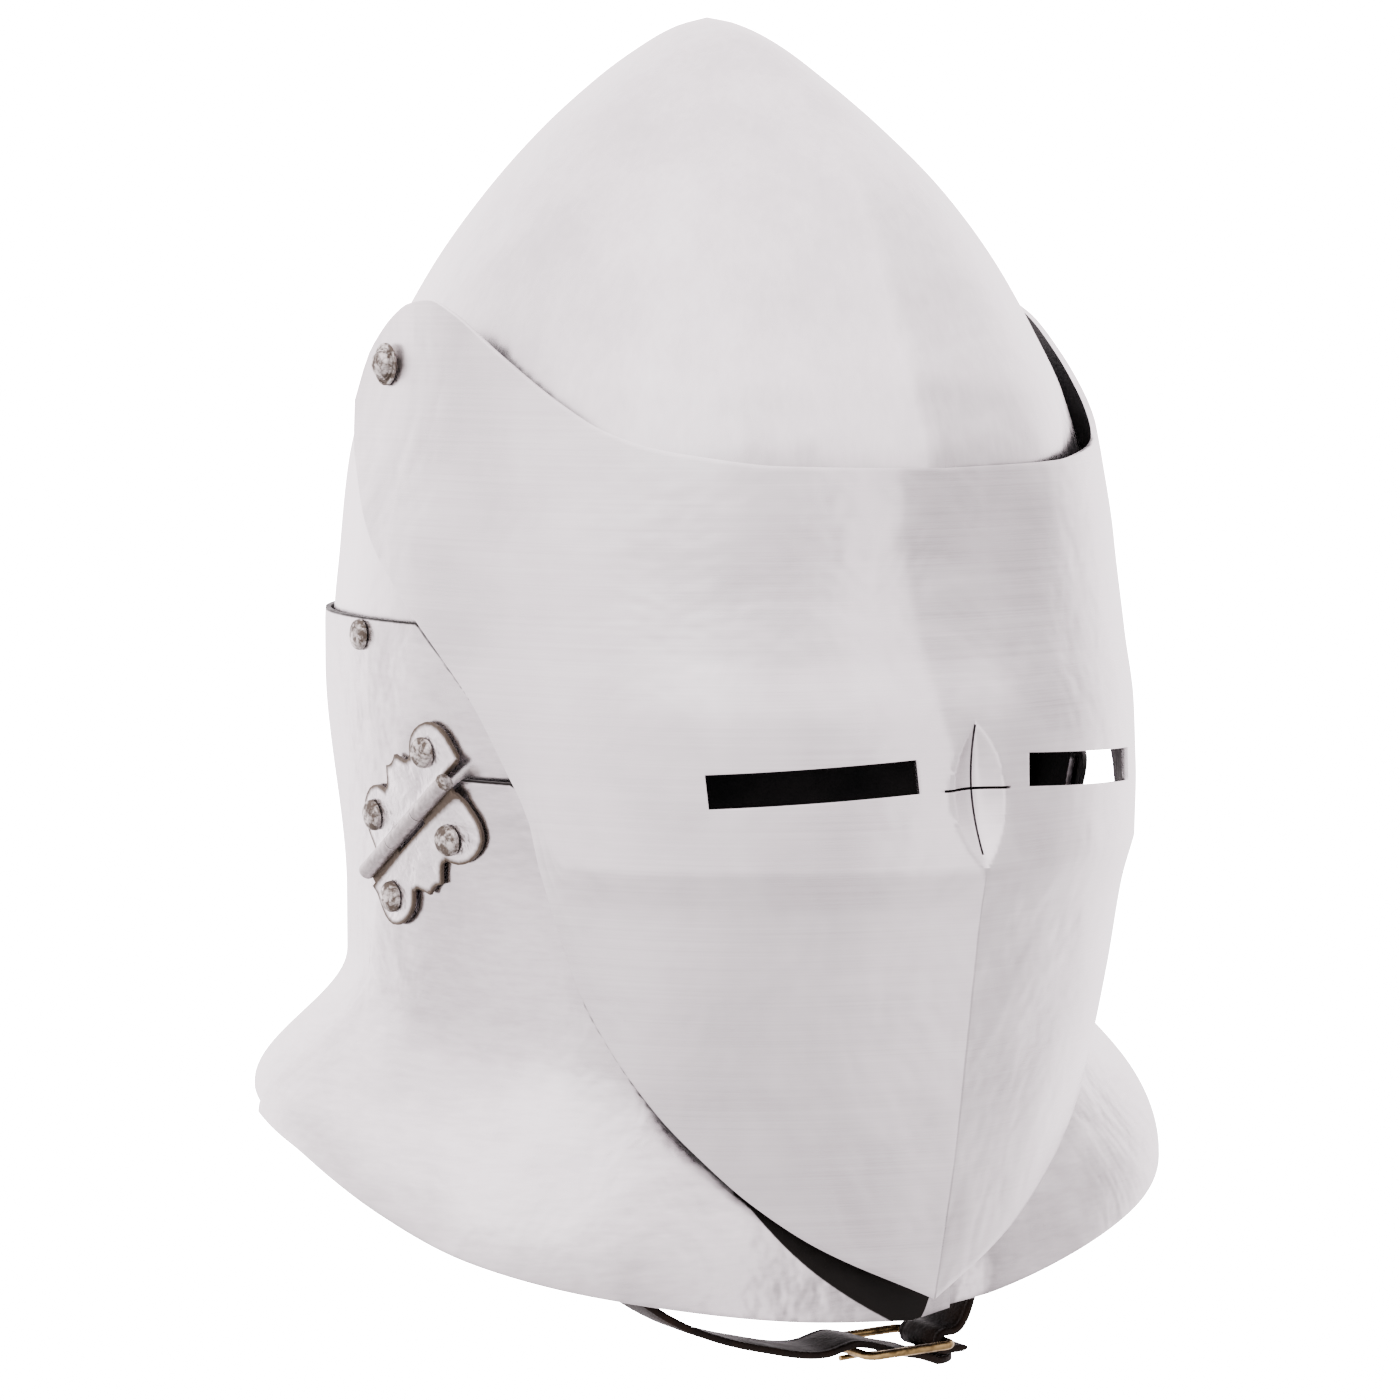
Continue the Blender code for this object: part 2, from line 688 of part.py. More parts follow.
def make_leaf(name, sign, across, size, point_at, knuckles):
    # across is +1 for the leaf above the barrel and -1 for the one below it
    front, back = hinge_axis(sign)
    middle = (front + back) / 2
    run = Vector((0.0, front.y - back.y, front.z - back.z)).normalized()
    rise = Vector((0.0, -run.z, run.y)) if run.y < 0 else Vector((0.0, run.z, -run.y))
    if rise.z < 0:
        rise = -rise
    half_length = (front - back).length / 2
    clear = knuckle_radius + 3 * touch_gap
    outline = [(share * size.half_length, depth * size.depth) for share, depth in leaf_outline]
    outline = [(-x, y) for x, y in reversed(outline[1:])] + outline
    outline = [(x + size.middle, y) for x, y in outline]
    inner = [(size.middle + size.half_length, clear)]
    edge = clear
    root = knuckle_radius * 0.4
    for start, end in sorted(knuckles, reverse=True):
        inner += [(end, edge), (end, root), (start, root), (start, edge)]
    inner.append((size.middle - size.half_length, clear))
    outline += inner
    shape = bmesh.new()
    corners = [shape.verts.new((x, y, 0.0)) for x, y in outline]
    shape.faces.new(corners)
    folds = [((0, place, 0), (0, 1, 0)) for place in leaf_fold_places]
    folds += [((place, 0, 0), (1, 0, 0)) for place in leaf_cross_places]
    for place, across_fold in folds:
        everything = shape.verts[:] + shape.edges[:] + shape.faces[:]
        bmesh.ops.bisect_plane(shape, geom=everything, dist=0.00001, plane_co=place,
                               plane_no=across_fold)
    bmesh.ops.triangulate(shape, faces=shape.faces[:])
    slope = (front.x - back.x) / (2 * half_length)
    for corner in shape.verts:
        place = middle + run * corner.co.x + rise * across * corner.co.y
        seat = side_reach(place.y, place.z, point_at) + touch_gap + lap_gap / 2
        barrel = abs(middle.x) + sign * slope * corner.co.x - knuckle_radius
        lift = 1.0 - ease((corner.co.y - root) / (leaf_fold_places[1] - root))
        place.x = sign * mix(seat, max(seat, barrel), lift)
        corner.co = place
    shape.normal_update()
    for face in shape.faces:
        if face.normal.x * sign < 0:
            face.normal_flip()
    mesh = bpy.data.meshes.new(name)
    shape.to_mesh(mesh)
    shape.free()
    leaf = new_object(name, mesh, parts, steel)
    solid = leaf.modifiers.new("wall", "SOLIDIFY")
    solid.thickness = leaf_wall
    solid.offset = 1.0
    axis = (front - back).normalized()
    for i, (start, end) in enumerate(knuckles):
        knuckle = rod_cutter(f"{name}_knuckle_{i + 1}", knuckle_radius,
                             middle + axis * start, middle + axis * end)
        weld = leaf.modifiers.new("knuckle", "BOOLEAN")
        weld.operation = "UNION"
        weld.object = knuckle
    bore = rod_cutter(name + "_bore", hinge_pin_radius + touch_gap, back - axis * pin_reach,
                      front + axis * pin_reach)
    subtract(leaf, bore)
    return leaf


def make_rivet(name, angle, height, point_at, proud):
    here, out = square_to(point_at, angle, height)
    return turned(name, dome(rivet_radius, rivet_rise), along(out, here + out * proud), pewter)


def make_hinge(side, sign, half):
    front, back = hinge_axis(sign)
    middle = (front + back) / 2
    axis = (front - back).normalized()
    half_length = (front - back).length / 2
    inner = middle_knuckle / 2
    upper = leaves["upper"]
    lower = leaves["lower"]
    make_leaf(f"hinge_upper_leaf_{side}", sign, 1, upper, collar_point, [(-inner, inner)])
    outer = [(-half_length, -inner - touch_gap), (inner + touch_gap, half_length)]
    moving_leaf = make_leaf(f"hinge_lower_leaf_{side}", sign, -1, lower, half_point, outer)
    carry(moving_leaf, half)
    head = dome(hinge_head_radius, hinge_head_rise)[:-1]
    length = 2 * half_length + touch_gap
    profile = [(r, h + length) for r, h in head] + [(hinge_pin_radius, length),
                                                    (hinge_pin_radius, 0.0), (0.0, 0.0)]
    turned(f"hinge_pin_{side}", profile, along(axis, back), pewter)
    run = Vector((0.0, axis.y, axis.z)).normalized()
    rise = Vector((0.0, -run.z, run.y)) * (1 if run.y > 0 else -1)
    for across, size, point_at, label in ((1, upper, collar_point, "upper"),
                                          (-1, lower, half_point, "lower")):
        for forward, end in ((1, "front"), (-1, "back")):
            place = size.rivet_middle + forward * size.rivet_reach
            spot = middle + run * place + rise * across * size.rivet_across
            angle = sign * side_angle(spot.y, spot.z, point_at)
            proud = leaf_wall + touch_gap * 2 + lap_gap / 2
            rivet = make_rivet(f"leaf_rivet_{label}_{end}_{side}", angle, spot.z, point_at, proud)
            if across < 0:
                carry(rivet, half)


def make_pivot(side, sign, skull, visor):
    # Rivet that the visor turns on, with a shoulder that keeps the ear off the skull
    height = pivot_height
    circle = [(pivot_back + pivot_washer_radius * cos(tau * i / 8),
               height + pivot_washer_radius * sin(tau * i / 8)) for i in range(8)]
    around = [skull_side(*place) for place in circle]
    skull_out = max(around)
    skull_in = min(around) - plate_wall * 1.4
    ears = [side_reach(*place, visor_point) for place in circle]
    ear = max(ears)
    hole = pivot_pin_radius + touch_gap
    start = Vector((sign * (skull_in - pin_reach), pivot_back, height))
    end = Vector((sign * (ear + pin_reach), pivot_back, height))
    subtract(skull, rod_cutter("pivot_hole_skull_" + side, hole, start, end))
    subtract(visor, rod_cutter("pivot_hole_visor_" + side, hole, start, end))
    base = ear + touch_gap
    shoulder = min(ears) - visor_wall * 1.05 - touch_gap
    foot = skull_out + touch_gap
    tail = skull_in - touch_gap
    head = dome(pivot_head_radius, pivot_head_rise)[:-2]
    washer_top = base + pivot_washer_wall
    profile = [(r, washer_top + h) for r, h in head]
    profile += [(pivot_head_radius, washer_top), (pivot_washer_radius, washer_top),
                (pivot_washer_radius, base), (pivot_pin_radius, base),
                (pivot_pin_radius, shoulder), (pivot_washer_radius, shoulder),
                (pivot_washer_radius, foot), (pivot_pin_radius, foot),
                (pivot_pin_radius, tail), (pivot_tail_radius, tail),
                (pivot_tail_radius * 0.7, tail - pivot_tail_rise), (0.0, tail - pivot_tail_rise)]
    frame = along(Vector((sign, 0, 0)), Vector((0.0, pivot_back, height)))
    return turned("visor_pivot_" + side, profile, frame, pewter)


def skull_side(back, height):
    # Half width of the skull at a distance behind the crown axis
    return side_reach(back, height, skull_point)


def strap_room():
    # Half the room for the strap's middle line between the skull's inner faces
    places = (strap_root_y - strap_width / 2, strap_root_y, strap_root_y + strap_width / 2)
    side = min(skull_side(place, strap_root_height) for place in places)
    return side - plate_wall - strap_wall / 2 - strap_seat_gap


def smooth_route(points, count):
    # Evenly spread points on a smooth curve through the given ones
    spans = [0.0]
    for before, after in zip(points, points[1:]):
        spans.append(spans[-1] + (after - before).length)
    rows = [RouteRow(run, *point) for run, point in zip(spans, points)]
    result = []
    for i in range(count + 1):
        row = read_rows(rows, spans[-1] * i / count)
        result.append(Vector((row.x, row.y, row.z)))
    return result


def strap_route():
    # Middle line of the hanging strap, from the wearer's right root to the left one
    room = strap_room()
    points = [Vector((row.side * room, mix(strap_root_y, strap_low_y, row.forward),
                      mix(strap_root_height, -strap_low_depth, row.drop))) for row in strap_rows]
    return smooth_route(points, strap_steps)


def route_height(route, x):
    # Height of the hanging strap below the chin at a sideways place
    low = [point for point in route if point.z < -strap_low_depth * 0.6]
    for before, after in zip(low, low[1:]):
        if before.x <= x <= after.x:
            return mix(before.z, after.z, (x - before.x) / (after.x - before.x))
    return low[-1].z


def ribbon(name, route, tip, look):
    # Flat strap whose width runs front to back, with a rounded tip where tip is not zero
    total = sum((after - before).length for before, after in zip(route, route[1:]))
    rows = []
    run = 0.0
    for i, point in enumerate(route):
        if i:
            run += (point - route[i - 1]).length
        half = strap_width / 2
        if tip and total - run < tip:
            half *= max(0.25, (1.0 - (1.0 - (total - run) / tip) ** 2) ** 0.5)
        rows.append([point + Vector((0, half, 0)), point - Vector((0, half, 0))])
    mesh = grid_mesh(name, rows)
    item = new_object(name, mesh, parts, look)
    solid = item.modifiers.new("wall", "SOLIDIFY")
    solid.thickness = strap_wall
    solid.offset = 0.0
    solid.use_even_offset = True
    return item


def wire(name, points, radius, closed, look):
    # Round bar along a list of points
    curve = bpy.data.curves.new(name, "CURVE")
    curve.dimensions = "3D"
    curve.bevel_depth = radius
    curve.bevel_resolution = 1
    curve.use_fill_caps = True
    line = curve.splines.new("POLY")
    line.points.add(len(points) - 1)
    for spot, point in zip(line.points, points):
        spot.co = (*point, 1.0)
    line.use_cyclic_u = closed
    item = bpy.data.objects.new(name, curve)
    parts.objects.link(item)
    curve.materials.append(new_material(name + "_finish", look))
    return item


def make_strap():
    route = strap_route()
    low_y = strap_low_y
    level = route_height(route, buckle_x)
    near = buckle_x - buckle_length / 2
    far = buckle_x + buckle_length / 2
    fold = buckle_wire + touch_gap + strap_wall / 2
    under = fold + strap_wall + 2 * touch_gap

    # The right leather passes over the near bar, out through the frame and under the far bar
    tail = [point for point in route if point.x < near - 2.5 * fold]
    tail += [Vector((near - fold * 0.6, low_y, level + fold * 1.15)),
             Vector((near + fold * 0.6, low_y, level + fold * 0.95)),
             Vector((mix(near, far, 0.46), low_y, level - fold * 0.45)),
             Vector((far - 1.9 * fold, low_y, level - under * 0.78)),
             Vector((far - 0.8 * fold, low_y, level - under * 1.03))]
    tail += [Vector((far + tail_length * i / 5, low_y, level - under * 1.03)) for i in range(1, 6)]
    tail_leather = ribbon("strap_tail_side", tail, strap_width / 2, leather)

    # The left leather folds round the far bar
    short = [point for point in reversed(route) if point.x > far + 2.5 * fold]
    short.append(Vector((far + fold, low_y, level + fold)))
    short += [Vector((far - fold * sin(pi * i / 6), low_y, level + fold * cos(pi * i / 6)))
              for i in range(7)]
    short.append(Vector((far + fold_length, low_y, level - fold * 0.98)))
    buckle_leather = ribbon("strap_buckle_side", short, 0.0, leather)

    half_y = strap_width / 2 + buckle_side_gap + buckle_corner
    corner = buckle_corner
    outline = []
    for x, y, start in ((far, half_y, 0.0), (near, half_y, pi / 2),
                        (near, -half_y, pi), (far, -half_y, 3 * pi / 2)):
        cx = x - corner if x == far else x + corner
        cy = y - corner if y > 0 else y + corner
        for i in range(3):
            turn = start + pi / 2 * i / 2
            outline.append(Vector((cx + corner * cos(turn), low_y + cy + corner * sin(turn), level)))
    wire("buckle_frame", outline, buckle_wire, True, brass)

    ring = buckle_wire + touch_gap + tongue_radius
    hook = [Vector((far + ring * cos(turn), low_y, level + ring * sin(turn)))
            for turn in (radians(degree) for degree in (20, 60, 100, 140, 180, 225, 260))]
    hook.append(Vector((near - buckle_wire, low_y, level - ring - touch_gap)))
    wire("buckle_tongue", hook, tongue_radius, False, brass)
    hole = tongue_radius + 2 * touch_gap
    start = Vector((far, low_y, level - ring))
    end = Vector((near, low_y, level - ring - touch_gap))
    subtract(tail_leather, rod_cutter("tongue_hole", hole, start, end))
    slot = (4.0 * fold, 2 * hole, 4.0 * fold)
    subtract(buckle_leather, box_cutter("tongue_slot", Vector((far - fold, low_y, level)), slot))

    root = strap_room() - strap_wall / 2 - touch_gap
    for side, sign in (("right", -1), ("left", 1)):
        spot = Vector((sign * root, strap_root_y, strap_root_height - strap_rivet_drop))
        turned("strap_rivet_" + side, dome(strap_rivet_radius, strap_rivet_radius * 0.5),
               along(Vector((-sign, 0, 0)), spot), pewter)


for item in list(bpy.data.objects):
    bpy.data.objects.remove(item)

parts = bpy.data.collections.new("visored_helm")
cutters = bpy.data.collections.new("cutters")
for group in (parts, cutters):
    bpy.context.scene.collection.children.link(group)

skull = make_skull()
visor = make_visor()
back_collar = make_back_collar()
collar_right = make_collar_half("collar_right", -1, -chin_lap_angle, half_point)
collar_left = make_collar_half("collar_left", 1, -chin_tuck_angle, tucked_half_point)
for side, sign in (("right", -1), ("left", 1)):
    make_pivot(side, sign, skull, visor)
weld(visor)
pivot_point = Vector((0.0, pivot_back, pivot_height))
set_origin(visor, pivot_point)
for half, sign in ((collar_right, -1), (collar_left, 1)):
    front, back = hinge_axis(sign)
    set_origin(half, (front + back) / 2)
for side, sign, half in (("right", -1, collar_right), ("left", 1, collar_left)):
    make_hinge(side, sign, half)
for label, angle in collar_rivet_angles.items():
    make_rivet("collar_rivet_" + label, angle, collar_top_height - collar_rivet_drop,
               collar_point, touch_gap)
make_strap()

# The seat inside the crown becomes the world origin
for item in list(parts.objects) + list(cutters.objects):
    if item.parent is None:
        item.location.z -= seat_height
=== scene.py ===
import json
from math import cos, pi, radians, sin, tau

import bmesh
import bpy
from mathutils import Matrix, Vector

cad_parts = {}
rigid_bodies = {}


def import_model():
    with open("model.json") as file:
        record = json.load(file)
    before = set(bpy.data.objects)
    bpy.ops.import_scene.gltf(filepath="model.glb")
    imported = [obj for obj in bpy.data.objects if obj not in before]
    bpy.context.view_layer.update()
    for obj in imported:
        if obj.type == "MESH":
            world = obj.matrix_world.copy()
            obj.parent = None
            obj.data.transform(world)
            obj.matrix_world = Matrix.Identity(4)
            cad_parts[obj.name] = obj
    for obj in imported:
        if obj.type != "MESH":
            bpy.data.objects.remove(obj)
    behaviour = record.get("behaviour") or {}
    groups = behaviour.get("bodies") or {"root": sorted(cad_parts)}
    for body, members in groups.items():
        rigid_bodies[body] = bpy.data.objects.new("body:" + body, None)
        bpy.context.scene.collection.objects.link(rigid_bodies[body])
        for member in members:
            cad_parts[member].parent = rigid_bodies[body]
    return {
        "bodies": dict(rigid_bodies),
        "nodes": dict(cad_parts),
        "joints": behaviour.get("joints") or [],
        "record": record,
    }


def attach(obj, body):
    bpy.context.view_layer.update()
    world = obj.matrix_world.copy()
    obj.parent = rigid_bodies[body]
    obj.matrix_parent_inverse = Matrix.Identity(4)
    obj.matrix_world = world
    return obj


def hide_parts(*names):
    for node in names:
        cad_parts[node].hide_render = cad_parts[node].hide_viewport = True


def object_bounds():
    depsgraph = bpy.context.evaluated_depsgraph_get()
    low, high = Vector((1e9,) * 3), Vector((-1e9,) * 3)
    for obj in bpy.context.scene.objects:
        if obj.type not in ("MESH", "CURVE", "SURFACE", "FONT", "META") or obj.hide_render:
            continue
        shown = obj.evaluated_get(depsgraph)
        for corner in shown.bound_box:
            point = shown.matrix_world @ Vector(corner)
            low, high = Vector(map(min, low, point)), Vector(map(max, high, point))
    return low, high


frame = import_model()
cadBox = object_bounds()
print("frame loaded")

# The pieces are drawn from the level of the eye slits and then lowered to the seat in the crown
seatDrop = Vector((0.0, 0.0, -0.125))
rootBody = "skull_and_back_collar"
sides = {"right": -1, "left": 1}


# curves shared by the plates
def clamp(value, low=0.0, high=1.0):
    return min(max(value, low), high)


def ease(share):
    share = clamp(share)
    return share * share * (3.0 - 2.0 * share)


def mix(start, end, share):
    return start + (end - start) * share


def steadySlope(before, after):
    if before * after <= 0.0:
        return 0.0
    return 2.0 * before * after / (before + after)


def readRows(rows, place):
    # smooth values of every further column at a place along the first one
    keys = [row[0] for row in rows]
    place = clamp(place, keys[0], keys[-1])
    upper = next(i for i in range(1, len(keys)) if place <= keys[i])
    lower = upper - 1
    step = keys[upper] - keys[lower]
    t = (place - keys[lower]) / step
    values = []
    for column in range(1, len(rows[0])):
        def slope(i):
            return (rows[i + 1][column] - rows[i][column]) / (keys[i + 1] - keys[i])
        here = slope(lower)
        start = steadySlope(slope(lower - 1), here) if lower > 0 else here
        end = steadySlope(here, slope(upper)) if upper < len(rows) - 1 else here
        rise = rows[upper][column] - rows[lower][column]
        bend = t * (1 - t) * ((start * step - rise) * (1 - t) - (end * step - rise) * t)
        values.append(rows[lower][column] + rise * t + bend)
    return values


def ovalRadius(angle, halfWidth, front, back, power):
    reach = front if cos(angle) > 0 else back
    return (abs(sin(angle) / halfWidth) ** power + abs(cos(angle) / reach) ** power) ** (-1.0 / power)


def atAngle(angle, radius, height):
    return Vector((sin(angle) * radius, -cos(angle) * radius, height))


def squareTo(pointAt, angle, height):
    # a point of a face and the way squarely out of it
    step = 0.0005
    here = pointAt(angle, height)
    sideways = pointAt(angle + step / here.xy.length, height) - here
    upwards = pointAt(angle, height + step) - here
    return here, sideways.cross(upwards).normalized()


# shader expressions
class Wire:
    # one socket of a node tree, with sums written as sums
    def __init__(self, tree, socket):
        self.tree = tree
        self.socket = socket

    def node(self, kind, settings, inputs, output=0):
        made = self.tree.nodes.new(kind)
        for key, value in settings.items():
            setattr(made, key, value)
        for key, value in inputs.items():
            if isinstance(value, Wire):
                self.tree.links.new(value.socket, made.inputs[key])
            else:
                made.inputs[key].default_value = value
        return Wire(self.tree, made.outputs[output])

    def sum(self, operation, first, second=0.0):
        return self.node("ShaderNodeMath", {"operation": operation}, {0: first, 1: second})

    def __add__(self, other):
        return self.sum("ADD", self, other)

    def __radd__(self, other):
        return self.sum("ADD", other, self)

    def __sub__(self, other):
        return self.sum("SUBTRACT", self, other)

    def __rsub__(self, other):
        return self.sum("SUBTRACT", other, self)

    def __mul__(self, other):
        return self.sum("MULTIPLY", self, other)

    def __pow__(self, other):
        return self.sum("POWER", self, other)

    def clip(self):
        return self.node("ShaderNodeClamp", {}, {"Value": self})

    def between(self, low, high):
        return self.node("ShaderNodeMapRange", {"interpolation_type": "SMOOTHSTEP"},
                         {"Value": self, "From Min": low, "From Max": high})

    def scaled(self, scale):
        return self.node("ShaderNodeMapping", {}, {"Vector": self, "Scale": scale})

    def noise(self, scale, detail=3.0, roughness=0.5, distortion=0.0):
        return self.node("ShaderNodeTexNoise", {},
                         {"Vector": self, "Scale": scale, "Detail": detail,
                          "Roughness": roughness, "Distortion": distortion})

    def blend(self, first, second):
        # this value chooses between two colours
        return self.node("ShaderNodeMix", {"data_type": "RGBA"},
                         {"Factor": self, 6: first, 7: second}, 2)

    def bump(self, strength, distance, before=None):
        inputs = {"Height": self, "Strength": strength, "Distance": distance}
        if before:
            inputs["Normal"] = before
        return self.node("ShaderNodeBump", {}, inputs)


def startMaterial(name):
    made = bpy.data.materials.new(name)
    made.use_nodes = True
    tree = made.node_tree
    shader = tree.nodes["Principled BSDF"]
    place = tree.nodes.new("ShaderNodeTexCoord").outputs["Object"]
    return made, shader, Wire(tree, place)


def feed(shader, inputs):
    for key, value in inputs.items():
        if isinstance(value, Wire):
            value.tree.links.new(value.socket, shader.inputs[key])
        else:
            shader.inputs[key].default_value = value


steelLook = {"tone": (0.93, 0.905, 0.915, 1.0), "shade": (0.64, 0.615, 0.63, 1.0),
             "roughness": 0.19, "spread": 0.14, "tarnish": (0.11, 0.09, 0.07, 1.0), "waves": 0.9,
             "shadeAndTarnishSoft": 1.1}


def steel(name, brush, brushDepth, cloud, look=steelLook, patinaAndShade=None):
    # satin steel: fine brushing along one way, with soft clouds left by the polishing wheel
    made, shader, place = startMaterial(name)
    fine = place.scaled(brush).noise(1.0, 4.0, 0.62)
    coarse = place.scaled(tuple(value * 0.31 for value in brush)).noise(1.0, 3.0, 0.55)
    clouds = place.noise(cloud, 4.0, 0.55, 0.6)
    haze = place.noise(cloud * 3.3, 3.0, 0.5, 0.3)
    mask = (clouds * 0.65 + haze * 0.35).between(0.36, 0.64)
    streak = (fine * 0.6 + coarse * 0.4).between(0.30, 0.70)
    tone = (mask * 0.55 + streak * 0.30).clip()
    roughness = look["roughness"] + mask * look["spread"] + streak * 0.07
    color = tone.blend(look["shade"], look["tone"])
    if patinaAndShade:
        # darker zone read from an attribute, in millimetres inside it: on the collar painted shadow under
        # the visor's edge and a thin dark line along the top edge, on the hinge leaves dark tarnish with
        # painted shade along their edges
        shadeAndPatina = place.node("ShaderNodeAttribute", {"attribute_name": patinaAndShade}, {}, 2)
        shadeAndPatina = shadeAndPatina.between(-look["shadeAndTarnishSoft"], look["shadeAndTarnishSoft"])
        shadeAndPatina = (shadeAndPatina * 1.35 + place.noise(600.0, 4.0, 0.6) * 0.6 - 0.5).clip()
        color = shadeAndPatina.blend(color, look["tarnish"])
        roughness = roughness + shadeAndPatina * 0.25
    waves = (clouds * 0.7 + haze * 0.3).bump(look["waves"], 0.004)
    feed(shader, {"Base Color": color, "Metallic": 1.0, "Roughness": roughness,
                  "Normal": (fine * 0.7 + coarse * 0.3).bump(0.5, brushDepth, waves)})
    return made


def blackened(name):
    made, shader, place = startMaterial(name)
    grain = place.noise(420.0, 3.0, 0.6)
    patches = place.noise(30.0, 4.0, 0.6)
    feed(shader, {"Base Color": patches.between(0.35, 0.70).blend((0.010, 0.010, 0.011, 1.0),
                                                                 (0.030, 0.028, 0.028, 1.0)),
                  "Metallic": 0.6, "Roughness": 0.48 + patches * 0.2,
                  "Normal": grain.bump(0.3, 0.0002)})
    return made


def agedRivet(name):
    made, shader, place = startMaterial(name)
    pits = place.noise(520.0, 4.0, 0.65)
    stain = place.noise(240.0, 3.0, 0.6, 0.8)
    mask = (pits * 0.5 + stain * 0.5).between(0.44, 0.60)
    feed(shader, {"Base Color": mask.blend((0.085, 0.068, 0.052, 1.0), (0.60, 0.575, 0.55, 1.0)),
                  "Metallic": 0.55 + mask * 0.45, "Roughness": 0.62 - mask * 0.30,
                  "Normal": pits.bump(0.55, 0.0003)})
    return made


def antiqueBrass(name):
    made, shader, place = startMaterial(name)
    pits = place.noise(600.0, 4.0, 0.6)
    tarnish = place.noise(150.0, 3.0, 0.6, 0.5).between(0.36, 0.62)
    feed(shader, {"Base Color": tarnish.blend((0.08, 0.050, 0.020, 1.0), (0.40, 0.28, 0.12, 1.0)),
                  "Metallic": 1.0, "Roughness": 0.50 - tarnish * 0.18,
                  "Normal": pits.bump(0.3, 0.0002)})
    return made


def darkLeather(name):
    made, shader, place = startMaterial(name)
    cells = place.node("ShaderNodeTexVoronoi", {"feature": "SMOOTH_F1"},
                       {"Vector": place, "Scale": 900.0})
    wear = place.noise(70.0, 4.0, 0.6)
    mask = wear.between(0.40, 0.75)
    feed(shader, {"Base Color": mask.blend((0.006, 0.004, 0.003, 1.0), (0.020, 0.011, 0.007, 1.0)),
                  "Roughness": 0.60 + mask * 0.2, "Specular IOR Level": 0.10,
                  "Normal": cells.bump(0.5, 0.0003)})
    return made


visorSteel = steel("visorSteel", (16.0, 16.0, 2100.0), 0.00003, 9.0)
skullSteel = steel("skullSteel", (420.0, 420.0, 60.0), 0.00003, 8.0)
# the collar's near-black tarnish colour is painted shadow: the black crescent under the visor's tip, a grey
# contact shade along the visor's lower edge, and a thin dark line along the top edge
collarSteel = steel("collarSteel", (120.0, 120.0, 700.0), 0.00004, 13.0,
                    {"tone": (0.94, 0.915, 0.925, 1.0), "shade": (0.56, 0.535, 0.55, 1.0),
                     "roughness": 0.18, "spread": 0.20, "tarnish": (0.014, 0.013, 0.012, 1.0),
                     "waves": 1.0, "shadeAndTarnishSoft": 0.4}, "wear")
# the hinge leaves get dark tarnish with painted shade along their edges and at the fold by the barrel
leafSteel = steel("leafSteel", (500.0, 500.0, 900.0), 0.00003, 40.0, patinaAndShade="wear")
insideBlack = blackened("insideBlack")
rivetMetal = agedRivet("rivetMetal")
brassMetal = antiqueBrass("brassMetal")
strapLeather = darkLeather("strapLeather")
print("materials made")


# making meshes
def meshFrom(name, points, faces, materials, edges=()):
    mesh = bpy.data.meshes.new(name)
    mesh.from_pydata([point + seatDrop for point in points], edges, faces)
    for material in materials:
        mesh.materials.append(material)
    mesh.shade_smooth()
    made = bpy.data.objects.new(name, mesh)
    bpy.context.scene.collection.objects.link(made)
    return made


def gridFaces(rowCount, columnCount, closed=False):
    faces = []
    for row in range(rowCount - 1):
        for i in range(columnCount if closed else columnCount - 1):
            j = (i + 1) % columnCount
            faces.append((row * columnCount + i, (row + 1) * columnCount + i,
                          (row + 1) * columnCount + j, row * columnCount + j))
    return faces


def crosswise(columns):
    return [list(row) for row in zip(*columns)]


def mark(piece, name, kind, values):
    # one value, or the three parts of a way, for every point of the piece
    field = "vector" if kind == "FLOAT_VECTOR" else "value"
    piece.data.attributes.new(name, kind, "POINT").data.foreach_set(field, values)


def reshape(piece, change):
    shape = bmesh.new()
    shape.from_mesh(piece.data)
    change(shape)
    shape.to_mesh(piece.data)
    shape.free()


def faceOutwards(shape):
    bmesh.ops.recalc_face_normals(shape, faces=shape.faces)


def settle(piece, sharp=35.0):
    # the evaluated mesh, with nothing left live on the piece
    bpy.context.view_layer.update()
    graph = bpy.context.evaluated_depsgraph_get()
    mesh = bpy.data.meshes.new_from_object(piece.evaluated_get(graph))
    piece.modifiers.clear()
    piece.data = mesh
    mesh.shade_smooth()
    mesh.set_sharp_from_angle(angle=radians(sharp))
    return piece


def addWall(piece, wall, edge, offset=-1.0):
    # the plate's thickness, blackened inside, with its edges broken by a file
    solid = piece.modifiers.new("wall", "SOLIDIFY")
    solid.thickness = wall
    solid.offset = offset
    solid.material_offset = len(piece.data.materials) - 1
    bevel = piece.modifiers.new("edge", "BEVEL")
    bevel.width = edge
    bevel.segments = 2
    bevel.limit_method = "ANGLE"
    bevel.angle_limit = radians(55)
    return settle(piece)


def plate(name, rows, wall, materials, closed=False, edge=0.00035, cuts=(), wear=()):
    points = [point for row in rows for point in row]
    piece = meshFrom(name, points, gridFaces(len(rows), len(rows[0]), closed), materials)
    # the wear values are millimetres inside the painted shadow under the visor's edge and the thin dark top
    # edge line of a collar plate
    if wear:
        mark(piece, "wear", "FLOAT", [value for row in wear for value in row])

    def clean(shape):
        bmesh.ops.remove_doubles(shape, verts=shape.verts, dist=0.00002)
        for cut in cuts:
            cut(shape)
    reshape(piece, clean)
    return addWall(piece, wall, edge)


def finish(piece, body, slotName, *nodes):
    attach(piece, body)
    if nodes:
        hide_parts(*nodes)
    return piece


# skull
skull = {
    "crownHeight": 0.2225, "halfWidth": 0.110, "frontReach": 0.119, "backReach": 0.1125,
    "power": 2.15, "keelRise": 0.003, "keelSpread": 0.030, "edgeHeight": 0.030,
    "browHeight": 0.056, "browAngle": radians(58), "browBlend": 0.6, "keelFade": 1.5,
    "wall": 0.0016, "columns": 180, "rows": 110, "rowPower": 1.25,
}
